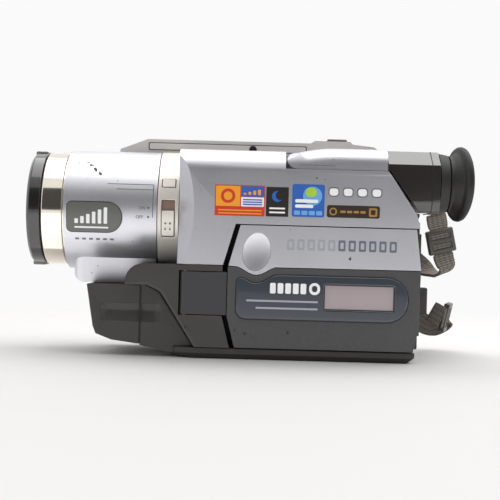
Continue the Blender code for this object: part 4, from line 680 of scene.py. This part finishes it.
def barrel_shell():
    """The silver barrel and the chin under it, in one moulding with a fillet between them."""
    shell = barrel_tool(BARREL_RADIUS, *BARREL_ENDS)
    shell.name = "barrel_shell"
    front, foot = CHIN_BOX[0]
    chin = plate("chin", CHIN_BOX, -CHIN_SIDE, 2 * CHIN_SIDE)
    select_points(chin, lambda p: p.z < foot + 0.1)
    bpy.ops.transform.resize(value=(1, CHIN_TAPER, 1), center_override=(0, 0, 0))
    close_edit()
    select_edges(chin, edges_where(chin, lambda p: p.x < front + 0.2))
    bpy.ops.mesh.bevel(offset=CHIN_ROUND * MM, segments=8)
    close_edit()
    carved(shell, chin, "UNION")
    carved(shell, barrel_tool(BARREL_BORE))
    crease = LENS_HEIGHT - math.sqrt(BARREL_RADIUS ** 2 - CHIN_SIDE ** 2)
    on_crease = lambda p: abs(abs(p.y) - CHIN_SIDE) < 0.1 and abs(p.z - crease) < 0.2
    select_edges(shell, edges_where(shell, on_crease))
    bpy.ops.mesh.bevel(offset=CHIN_FILLET * MM, segments=5)
    close_edit()
    settle(eased(shell, 0.5), ROOT, "silver")
    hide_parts("lens_housing")


def door_button():
    """The oval button, which leans with the door's edge and is dished for a fingertip."""
    bpy.ops.object.select_all(action="DESELECT")
    lean = math.radians(BUTTON_LEAN)
    size = {"vertices": 72, "radius": MM, "depth": 2.4 * MM}
    centre = (BUTTON_X * MM, -35.0 * MM, BUTTON_HEIGHT * MM)
    bpy.ops.mesh.primitive_cylinder_add(**size, location=centre, rotation=(math.radians(90), lean, 0))
    item = bpy.context.active_object
    item.name = "door_button_dish"
    item.scale = (5.85, 7.95, 1)
    size = {"segments": 64, "ring_count": 48, "radius": MM}
    dish = (BUTTON_X * MM, -37.7 * MM, BUTTON_HEIGHT * MM)
    bpy.ops.mesh.primitive_uv_sphere_add(**size, location=dish, rotation=(0, lean, 0))
    tool = bpy.context.active_object
    tool.scale = (7.6, 2.6, 10.35)
    apply_place()
    only(item)
    apply_place()
    carved(item, tool)
    settle(eased(item, 0.15), "open_button_body", "silver", 30)
    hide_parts("open_button")


def door_window():
    """The smoked panel, raised from the door, with eased edges and a black line round its foot as painted
    shadow.
    """
    item = copied("window_plate")
    at_front = lambda p: p.y < NEAR_SIDE + 0.1
    # Painted shadow: a black bead at the panel's foot stands for the shade in the gap round it
    bead("window_gasket", item, edges_where(item, at_front), 0.28, DOOR, "black")
    shifted(item, at_front, (0, -WINDOW_RISE, 0))
    eased(item, 0.6)


def base_shell():
    """The base plate, whose front corner is drawn in under the recessed front of the cabinet."""
    item = sliced(copied("base_plate"), (-21, 0, 0), (1, 0, 0))
    shifted(item, lambda p: p.x < -24 and p.y < -29, (-2.6, 3.75, 0))
    eased(item, BASE_ROUND, 3)


# Viewfinder and strap

def finder_fairing():
    """The viewfinder's cover, whose nose sweeps down and whose side grows taller towards the eyepiece."""
    item = copied("viewfinder_cover")
    nose, rear = 19.3, 57.2
    cuts = [20, 22, 24.5, 27, 29.5, 32, 35]
    for place in cuts:
        sliced(item, (place, 0, 0), (1, 0, 0))
    for low, high, swell in ((84.5, 85.4, 0.2), (86.8, 87.5, 0.5), (88.6, 89.1, 0.3)):
        for place in cuts + [rear]:
            share = min(1.0, (place - 18) / 17)
            in_row = lambda p: abs(p.x - place) < 0.1 and low < p.z < high and p.y < -30
            shifted(item, in_row, (0, -swell * share, 0))
    hole_x, hole_z, hole_radius = HINGE_HOLE
    for place in [nose] + cuts:
        height = 1 - NOSE_DROP_SHARE * ((36 - place) / 16.7) ** 2
        length = NOSE_LENGTH_SHARE if place == nose else 1

        def swept(p):
            here = p.x < NOSE_END if place == nose else abs(p.x - place) < 0.1
            return here and p.z > FAIRING_SEAT and math.hypot(p.x - hole_x, p.z - hole_z) > hole_radius

        select_points(item, swept)
        corner = (NOSE_END * MM, 0, FAIRING_SEAT * MM)
        bpy.ops.transform.resize(value=(length, 1, height), center_override=corner)
        close_edit()
    return eased(item, 0.4)


def finder_tube():
    """The viewfinder's dark tube, with a flat facet along its upper near corner."""
    facet = {"place": (0, -33.3, 84), "normal": (0, -0.585, 0.811)}
    return eased(sliced(copied("viewfinder_tube"), **facet, clear_outer=True, use_fill=True), 0.3)


def eyecup_bell():
    """The rubber eyecup: a necked bell with a rolled lip, drawn ring by ring and leaning like the solid."""
    # Each ring has its share of the cup's run, its radius and its lean
    rings = [(0.0, 12.2, 0), (0.1, 11.7, 0), (0.2, 11.8, 1), (0.3, 12.5, 3), (0.48, 13.3, 6)]
    rings += [(0.56, 13.9, 8), (0.55, 14.9, 9), (0.6, 15.6, 10), (0.7, 16.1, 10.8), (0.82, 16.2, 10.8)]
    rings += [(0.93, 15.9, 10.8), (1.0, 15.2, 10.8), (0.98, 14.5, 10.8), (0.9, 14.0, 10.8), (0.7, 13.2, 9)]
    rings += [(0.45, 11.0, 5), (0.2, 9.9, 0), (0.0, 9.8, 0)]
    low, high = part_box("eyecup")
    axis = (low[1] + high[1]) / 2, (low[2] + high[2]) / 2
    run = CUP_RUN * MM
    bpy.ops.object.select_all(action="DESELECT")
    start = (low[0], axis[0], axis[1])
    turn = (0, math.radians(90), 0)
    bpy.ops.mesh.primitive_circle_add(vertices=64, radius=rings[0][1] * MM, location=start, rotation=turn)
    item = bpy.context.active_object
    item.name = "eyecup_bell"
    apply_place()
    open_edit(item)
    for (place, radius, lean), (next_place, next_radius, next_lean) in zip(rings, rings[1:]):
        centre = (low[0] + place * run, axis[0], axis[1])
        growth = next_radius / radius
        bpy.ops.mesh.extrude_region_move(TRANSFORM_OT_translate={"value": (0, 0, 0)})
        bpy.ops.transform.resize(value=(growth, growth, growth), center_override=centre)
        tilt = math.radians(lean - next_lean)
        bpy.ops.transform.rotate(value=tilt, orient_axis="Z", center_override=centre)
        bpy.ops.transform.translate(value=((next_place - place) * run, 0, 0))
    bpy.ops.mesh.select_all(action="DESELECT")
    bpy.ops.mesh.select_non_manifold()
    bpy.ops.mesh.bridge_edge_loops()
    close_edit()
    settle(item, "viewfinder", "rubber", 50)
    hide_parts("eyecup")


def swell_cloth(item, steps=20):
    """Lets pressure swell a cloth skin between its held seams, by PAD_SWELL at most."""
    start = [vertex.co.copy() for vertex in item.data.vertices]
    seams = item.vertex_groups.new(name="seams")
    (left, low), (right, high) = PAD_INSIDE_SEAMS
    free = lambda p: left < p.x / MM < right and low < p.z / MM < high
    held = [i for i, p in enumerate(start) if not free(p)]
    seams.add(held, 1.0, "REPLACE")
    cloth = item.modifiers.new("cloth", "CLOTH")
    cloth.settings.mass = 0.0005
    cloth.settings.use_pressure = True
    cloth.settings.uniform_pressure_force = 4.0
    cloth.settings.effector_weights.gravity = 0.0
    cloth.settings.vertex_group_mass = "seams"
    cloth.point_cache.frame_end = steps
    for step in range(1, steps + 1):
        bpy.context.scene.frame_set(step)
    only(item)
    bpy.ops.object.modifier_apply(modifier="cloth")
    bpy.context.scene.frame_set(1)
    for vertex, place in zip(item.data.vertices, start):
        moved = vertex.co - place
        if moved.length > PAD_SWELL * MM:
            vertex.co = place + moved.normalized() * PAD_SWELL * MM


def strap_pad():
    """The hand strap's padded sleeve: a cloth skin swollen between its seams, with two rows of stitches."""
    item = copied("hand_strap")
    applied(item, "REMESH", mode="VOXEL", voxel_size=1.3 * MM)
    swell_cloth(item)
    applied(item, "SMOOTH", factor=0.5, iterations=4)
    applied(item, "SUBSURF", levels=1)
    settle(item, "lid", "fabric", 80)
    outside = lambda p: p.y > PAD_OUTSIDE
    for name, height in (("strap_stitch_upper", 57.0), ("strap_stitch_lower", 33.0)):
        cut_line(name, item, (0, 0, height), (0, 0, 1), outside, 0.3, "lid", "thread")


def webbing(node):
    """Woven webbing, whose weave runs along a map of its length and width."""
    item = copied(node, clean=False)
    open_edit(item)
    bpy.ops.mesh.tris_convert_to_quads(face_threshold=math.radians(60), shape_threshold=math.radians(60))
    close_edit()
    mesh = item.data
    near = {vertex.index: [] for vertex in mesh.vertices}
    for edge in mesh.edges:
        first, second = edge.vertices
        length = (mesh.vertices[first].co - mesh.vertices[second].co).length
        if length < WEBBING_CROSSING * MM:
            near[first].append((second, length))
            near[second].append((first, length))
    one_side = distances(near, farthest(near, 0))
    other = next(i for i in near if i not in one_side)
    start = min(one_side, key=one_side.get)
    from_start = lambda i: (mesh.vertices[i].co - mesh.vertices[start].co).length
    other_side = distances(near, min(distances(near, other), key=from_start))
    layer = mesh.uv_layers.new(name="weave")
    for loop in mesh.loops:
        i = loop.vertex_index
        layer.data[loop.index].uv = (one_side[i], 0) if i in one_side else (other_side.get(i, 0), 1)
    creases = mesh.attributes.new("crease_edge", "FLOAT", "EDGE")
    for edge in mesh.edges:
        creases.data[edge.index].value = 0.0 if crosses(edge, one_side) else 0.9
    applied(item, "SUBSURF", levels=2, uv_smooth="NONE")
    bpy.ops.object.shade_smooth_by_angle(angle=math.radians(40))


def crosses(edge, one_side):
    """Whether an edge runs across the webbing, from one long side to the other."""
    first, second = edge.vertices
    return (first in one_side) != (second in one_side)


def distances(near, start):
    """The way from one point to each point that short edges join to it."""
    found = {start: 0.0}
    queue = [start]
    while queue:
        point = queue.pop(0)
        for other, length in near[point]:
            reach = found[point] + length
            if reach < found.get(other, 1e9) - 1e-9:
                found[other] = reach
                queue.append(other)
    return found


def farthest(near, start):
    reach = distances(near, start)
    return max(reach, key=reach.get)


def threaded(name, centre, across, along):
    """The short run of webbing that passes behind a buckle's middle bar."""
    bpy.ops.object.select_all(action="DESELECT")
    across, along = Vector(across).normalized(), Vector(along)
    along = (along - across * along.dot(across)).normalized()
    facing = across.cross(along)
    facing = facing if facing.y < 0 else -facing
    turn = Matrix((across, along, across.cross(along))).transposed().to_4x4()
    middle = (Vector(centre) + facing * 0.2) * MM
    bpy.ops.mesh.primitive_grid_add(x_subdivisions=1, y_subdivisions=6, size=1, calc_uvs=False)
    item = bpy.context.active_object
    item.name = name
    size = Matrix.Diagonal((WEBBING_WIDTH * MM, THREADED * MM, 1, 1))
    item.matrix_world = Matrix.Translation(middle) @ turn @ size
    layer = item.data.uv_layers.new(name="weave")
    for loop in item.data.loops:
        point = item.data.vertices[loop.vertex_index].co
        layer.data[loop.index].uv = (point.y * THREADED * MM, point.x + 0.5)
    only(item)
    apply_place()
    applied(item, "SOLIDIFY", thickness=0.7 * MM, offset=0)
    settle(eased(item, 0.2), "lid", "webbing")


silver_cabinet()
dark_cabinet()
eased(grip_groove(without_groove(copied("jack_cover"), -63, -46)), 0.5)
barrel_shell()
door_button()
door_window()
strap_pad()
base_shell()
eyecup_bell()
eased(copied("rear_panel", clean=False), 0.4)
fairing = finder_fairing()

# How wide the edges of the plainer solids are rounded
EDGES = {
    0.6: "door_lower_cover top_cover front_panel cassette_lid",
    0.8: "door_top_cover",
    0.4: "lcd_hinge_block lens_cap buckle_upper buckle_lower eyecup_ring",
    0.3: "switch_band front_ring zoom_lever band_button band_switch power_dial cap_tab_upper cap_tab_lower",
    0.1: "front_lens zoom_lens eyepiece_lens",
    0.2: "photo_button record_button eject_slider infrared_window mic_grille lcd_bezel",
}
shells = {node: eased(copied(node), width) for width, nodes in EDGES.items() for node in nodes.split()}
shells["viewfinder_tube"] = finder_tube()
# The top and front faces of the top cover get the plastic's mid grey. The paler grey left on its near side is
# painted light.
tint(shells["top_cover"], "slab_top", lambda p, n: n.z > 0.3 and n.y > -0.4)
for node in FINISH_OF["webbing"].split():
    webbing(node)
threaded("threaded_upper", (90.2, 25, 52.8), (0.95, 0.2, 0.24), (0.3, 0.12, -0.94))
threaded("threaded_lower", (94, 28, 16.8), (0.2, -0.1, 0.97), (0.3, 0.95, 0))


# Fittings, prints and labels

def zoom_badge():
    """The badge on the barrel, with a scale of rising bars, and a row of ticks below it."""
    wrapped("badge_rim", ((-79.1, 51.7), (-55.0, 65.1)), 0.3, "night", 2.4, 6.6)
    wrapped("barrel_badge", ((-78.8, 52.0), (-55.3, 64.8)), 0.45, "badge", 2.2, 6.3, edge=0.2)
    bars = []
    for number in range(6):
        left = -75.5 + 2.5 * number
        corners = ((left, 55.6), (left + 1.5, 57.6 + number))
        bars.append(wrapped("scale_bar", corners, 0.55, "white_ink", 0.3))
    bars.append(wrapped("scale_line", ((-75.5, 53.6), (-61.0, 54.3)), 0.55, "white_ink", 0.2))
    joined("zoom_scale", bars)
    ticks = []
    for number in range(6):
        left = -75.5 + 3 * number
        ticks.append(wrapped("tick", ((left, 48.6), (left + 1.7, 49.4)), 0.06, "ink", 0.2))
    joined("lower_ticks", ticks)


def switch_marks():
    """ON and OFF beside the slide switch, each with a dot, a bracket and two pointers."""
    marks = [printed("on_mark", "ON", -48.2, 62.2, 1.3, -26.4, ROOT, "ink")]
    marks.append(printed("off_mark", "OFF", -49.4, 58.3, 1.3, -26.25, ROOT, "ink"))
    marks += [wrapped("dot", ((-44.5, low), (-43.5, low + 1)), 0.08, "ink", 0.45) for low in (62.4, 58.5)]
    marks.append(wrapped("bracket", ((-42.3, 58.8), (-41.95, 73.0)), 0.06, "ink"))
    marks.append(wrapped("pointer_upper", ((-62.0, 72.8), (-42.3, 73.1)), 0.06, "ink"))
    marks.append(wrapped("pointer_lower", ((-58.0, 70.6), (-42.3, 70.9)), 0.06, "ink"))
    joined("switch_marks", marks)


def switch_slot():
    """The floor of the slide switch's slot, and four dimples on the switch."""
    wrapped("slot_floor", ((-38.2, 50.6), (-32.8, 66.3)), -0.9, "slot", sunk=1.5)
    dimples = []
    for left in (-36.9, -34.9):
        for low in (53.6, 56.0):
            dimples.append(plate("dimple", ((left, low), (left + 0.8, low + 0.8)), -27.45, 0.3, 0.39))
    for dimple in dimples:
        settle(dimple, "band_switch_body", "knob")
    joined("switch_dimples", dimples)


def label_print(name, rows):
    """A label in one piece, from the rows that describe its layers."""
    joined(name, [label(*row) for row in rows])


def day_label():
    """A red label with a ring on orange, rising bars on blue and fine lines."""
    rows = [("day_label", ((-15.3, 60.3), (5.7, 73.2)), "scarlet", 1)]
    rows += [("day_field", ((-14.9, 64.3), (-4.7, 72.8)), "orange", 2)]
    rows += [("day_disc", ((-12.8, 65.6), (-6.8, 71.6)), "scarlet", 3, 2.95)]
    rows += [("day_core", ((-11.6, 66.8), (-8.0, 70.4)), "orange", 4, 1.75)]
    rows += [("sky_field", ((-4.3, 68.4), (5.3, 72.8)), "royal", 2)]
    rows += [("sky_bar", ((-3.3 + 2 * i, 69.2), (-2.1 + 2 * i, 70 + 0.5 * i)), "orange", 3) for i in range(4)]
    rows += [("white_field", ((-4.3, 64.3), (5.3, 68.2)), "white_ink", 2)]
    rows += [("blue_line", ((-3.6, low), (4.6, low + 0.5)), "royal", 3, 0.2) for low in (64.9, 65.9, 66.9)]
    rows += [("pale_line", ((-13.8, low), (4.4, low + 0.5)), "orange", 2, 0.2) for low in (61.1, 62.4)]
    label_print("day_night_label", rows)


def night_label():
    """A black label with a blue crescent over two white lines."""
    rows = [("night_label", ((6.2, 60.4), (15.6, 72.8)), "night", 1)]
    rows += [("night_disc", ((8.6, 66.6), (13.2, 71.2)), "royal", 2, 2.25)]
    rows += [("night_bite", ((10.2, 67.4), (14.0, 71.2)), "night", 3, 1.85)]
    rows += [("night_line", ((7.6, low), (14.2, low + 0.7)), "white_ink", 2, 0.2) for low in (61.8, 63.5)]
    label_print("night_label_print", rows)


def wave_label():
    """A blue label with a pale disc, a green one, two white bars and a row of tiles."""
    rows = [("wave_label", ((17.1, 60.6), (30.7, 74.3)), "royal", 1, 0.9)]
    rows += [("wave_disc", ((21.6, 65.4), (29.6, 73.4)), "sky", 2, 3.95)]
    rows += [("wave_leaf", ((22.6, 69.0), (27.4, 73.0)), "leaf", 3, 1.9)]
    for low, right in ((64.4, 26.0), (66.6, 28.0)):
        rows += [("wave_bar", ((18.4, low), (right, low + 1.4)), "white_ink", 4, 0.5)]
    rows += [("wave_tile", ((18.0 + 3.1 * i, 61.4), (20.5 + 3.1 * i, 63.2)), "sky", 2) for i in range(4)]
    label_print("wave_label_print", rows)


def brown_label():
    """A brown label with a gold ring, four dashes and a square."""
    rows = [("brown_label", ((31.8, 60.7), (54.0, 65.9)), "cocoa", 1, 0.9)]
    rows += [("brown_ring", ((32.8, 61.6), (36.0, 64.8)), "gold", 2, 1.55)]
    rows += [("brown_ring_core", ((33.4, 62.2), (35.4, 64.2)), "cocoa", 3, 0.95)]
    rows += [("brown_line", ((37.4 + 2.8 * i, 62.7), (39.6 + 2.8 * i, 63.7)), "gold", 2) for i in range(4)]
    rows += [("brown_block", ((49.4, 61.4), (52.9, 65.0)), "gold", 2, 0.6)]
    rows += [("brown_block_core", ((50.2, 62.2), (52.1, 64.2)), "cocoa", 3, 0.3)]
    label_print("brown_label_print", rows)


def lozenge_row():
    """A row of pale lozenges with grey edges."""
    rows = []
    for left in (32.2, 38.2, 44.2, 50.2):
        rows += [("lozenge_edge", ((left, 69.4), (left + 4.6, 73.4)), "ink", 1, 1.4)]
        rows += [("lozenge", ((left + 0.5, 69.9), (left + 4.1, 72.9)), "white_ink", 2, 1.1)]
    label_print("lozenge_row", rows)


def door_prints():
    """A row of slate bars on the door, and simple pale marks on the smoked panel."""
    rows = []
    for number in range(11):
        left = 15.5 + 4.3 * number
        finish = "slate" if number > 4 else "pale_slate"
        rows += [("door_bar", ((left, 46.6), (left + 3.0, 51.2)), finish, 1, 0.5, DOOR)]
        rows += [("door_bar_core", ((left + 0.8, 47.6), (left + 2.2, 50.2)), "silver", 2, 0.3, DOOR)]
    label_print("door_bar_row", rows)
    rows = []
    for left in (8.8, 12.0, 15.2, 18.4, 21.6):
        rows += [("panel_bar", ((left, 28.2), (left + 2.4, 32.6)), "white_ink", 1, 0.6)]
    rows += [("panel_ring", ((25.2, 28.0), (29.8, 33.0)), "white_ink", 1, 2.2)]
    rows += [("panel_ring_core", ((26.4, 29.2), (28.6, 31.8)), "window", 2, 1.0)]
    for left, low in ((-1, 24.6), (3, 21.6)):
        rows += [("panel_line", ((left, low), (29.0, low + 0.8)), "pale_slate", 1, 0.3)]
    label_print("panel_print", [(*row, DOOR, NEAR_SIDE - WINDOW_RISE) for row in rows])


def top_fittings():
    """The inlay and the screw along the top cover's side."""
    dark = plate("inlay_shadow", ((-47.2, 90.3), (24.4, 93.7)), 2.3, 0.5, 0.6)
    strip = plate("inlay_strip", ((-46.8, 90.6), (24.0, 93.4)), 2.1, 0.6, 0.5)
    settle(dark, ROOT, "black")
    settle(eased(strip, 0.12), ROOT, "slab")
    screw = plate("cover_screw", ((-1.6, 89.9), (1.8, 93.3)), 1.7, 0.9, 1.65)
    slot = plate("screw_slot", ((-1.2, 91.4), (1.4, 91.8)), 1.4, 0.6)
    settle(carved(eased(screw, 0.25), slot), ROOT, "black")


def seam_lines():
    """Painted shadow lines: black ones in the seam round the hinge block and round the viewfinder's tube, and
    a grey one in the groove of its cover.
    """
    hinge, tube = shells["lcd_hinge_block"], shells["viewfinder_tube"]
    cut_line("hinge_gasket", hinge, (0, -35.5, 0), (0, 1, 0), lambda p: p.x < -9.6, 0.24, DOOR, "black")
    cut_line("finder_seam", tube, (76.2, 0, 0), (1, 0, 0), lambda p: True, 0.2, "viewfinder", "black")
    on_side = lambda p: p.y < -33
    # Painted shadow: the grey print material draws the shade of the groove along the cover's side
    cut_line("fairing_groove", fairing, (0, 0, 82.6), (0, 0, 1), on_side, 0.16, "viewfinder", "ink")


zoom_badge()
switch_marks()
switch_slot()
day_label()
night_label()
wave_label()
brown_label()
# Painted shade: a flat matt black disc stands for the dark inside of a screw hole
label("cabinet_screw_hole", ((-26.7, 12.6), (-25.7, 13.6)), "black", 1, 0.48)
lozenge_row()
door_prints()
top_fittings()
seam_lines()


# Stage, light and camera, with the sizes and places of the stage in metres

def table():
    """A white table that glows away from the camcorder, so that it runs into the backdrop."""
    bpy.ops.object.select_all(action="DESELECT")
    bpy.ops.mesh.primitive_plane_add(size=8, location=(0, 0, 0))
    floor = bpy.context.active_object
    floor.name = "floor"
    material = surface("white_table", "#bcbcbc", 0.8)
    tree = material.node_tree
    shader = tree.nodes["Principled BSDF"]
    shader.inputs["Specular IOR Level"].default_value = 0.1
    place = add(tree, "TexCoord").outputs["Object"]
    far = add(tree, "VectorMath", {"operation": "LENGTH"}, _0=place).outputs["Value"]
    share = add(tree, "MapRange", {"From Min": 0.2, "From Max": 0.45}, Value=far).outputs["Result"]
    glow = add(tree, "Emission", {"Color": srgb("#fafafa"), "Strength": 1.0})
    mixed = add(tree, "MixShader", _0=share, _1=shader.outputs["BSDF"], _2=glow.outputs["Emission"])
    tree.links.new(mixed.outputs["Shader"], tree.nodes["Material Output"].inputs["Surface"])
    floor.data.materials.append(material)


def soft_panel(name, place, turn, width, height, energy):
    """A rectangular area light."""
    bpy.ops.object.light_add(type="AREA", location=place, rotation=turn)
    item = bpy.context.active_object
    item.name = name
    item.data.shape = "RECTANGLE"
    item.data.size = width
    item.data.size_y = height
    item.data.energy = energy
    return item


def lights():
    """A soft box overhead, a reflector low on the table, and the dark opening behind the camera."""
    lamp = soft_panel("top_softbox", (0.3, 0.1, 0.9), (0, 0, 0), 1.2, 1.0, 8)
    upward = (math.radians(180), 0, 0)
    card = soft_panel("table_reflector", (0, -0.165, 0.002), upward, 0.6, 0.3, 0.4)
    card.visible_camera = False
    bpy.ops.object.select_all(action="DESELECT")
    bpy.ops.mesh.primitive_circle_add(vertices=64, radius=0.75, fill_type="NGON", location=(0, -0.8, 0.05))
    opening = bpy.context.active_object
    opening.name = "dark_opening"
    opening.rotation_euler = (math.radians(90), 0, 0)
    opening.data.materials.append(surface("dark_cloth", "#282828", 0.9))
    opening.visible_camera = False


def room():
    """Light from behind, above and the sides. The camera and all reflections see a plain white room."""
    world = bpy.data.worlds.new("studio_room")
    bpy.context.scene.world = world
    world.use_nodes = True
    tree = world.node_tree
    tree.nodes.clear()
    rays = add(tree, "LightPath").outputs
    shown = rays["Is Camera Ray"]
    for kind in ("Is Glossy Ray", "Is Transmission Ray"):
        shown = add(tree, "Math", {"operation": "MAXIMUM"}, _0=shown, _1=rays[kind]).outputs["Value"]
    parts = add(tree, "SeparateXYZ", Vector=add(tree, "TexCoord").outputs["Generated"]).outputs
    behind = {"From Min": 0.05, "From Max": 0.35, "To Max": 2.8}
    light = add(tree, "MapRange", behind, Value=parts["Y"]).outputs["Result"]
    above = {"From Min": 0.5, "From Max": 0.8}
    sides = {"From Min": -0.85, "From Max": -0.55, "To Min": 0.05, "To Max": 0.6}
    for limits, part in ((above, "Z"), (sides, "Y")):
        level = add(tree, "MapRange", limits, Value=parts[part]).outputs["Result"]
        light = add(tree, "Math", {"operation": "MAXIMUM"}, _0=light, _1=level).outputs["Value"]
    lit = add(tree, "Background", {"Color": srgb("#f6f4f2")}, Strength=light).outputs["Background"]
    white = add(tree, "Background", {"Color": srgb("#fafafa"), "Strength": 1.0}).outputs["Background"]
    mixed = add(tree, "MixShader", _0=shown, _1=lit, _2=white)
    add(tree, "OutputWorld", Surface=mixed.outputs["Shader"])


def photo_camera():
    """The photo's view: square on to the screen's side, with the camcorder leaning a little to the rear."""
    place = (0, -0.5057, 0.0461)
    turn = (math.radians(90), math.radians(-1.6), 0)
    bpy.ops.object.camera_add(location=place, rotation=turn)
    camera = bpy.context.active_object
    camera.name = "photo_camera"
    camera.data.sensor_width = 36
    camera.data.lens = 80.64
    camera.data.clip_start = 0.01
    bpy.context.scene.camera = camera


table()
lights()
room()
photo_camera()
bpy.context.scene.view_settings.view_transform = "Standard"
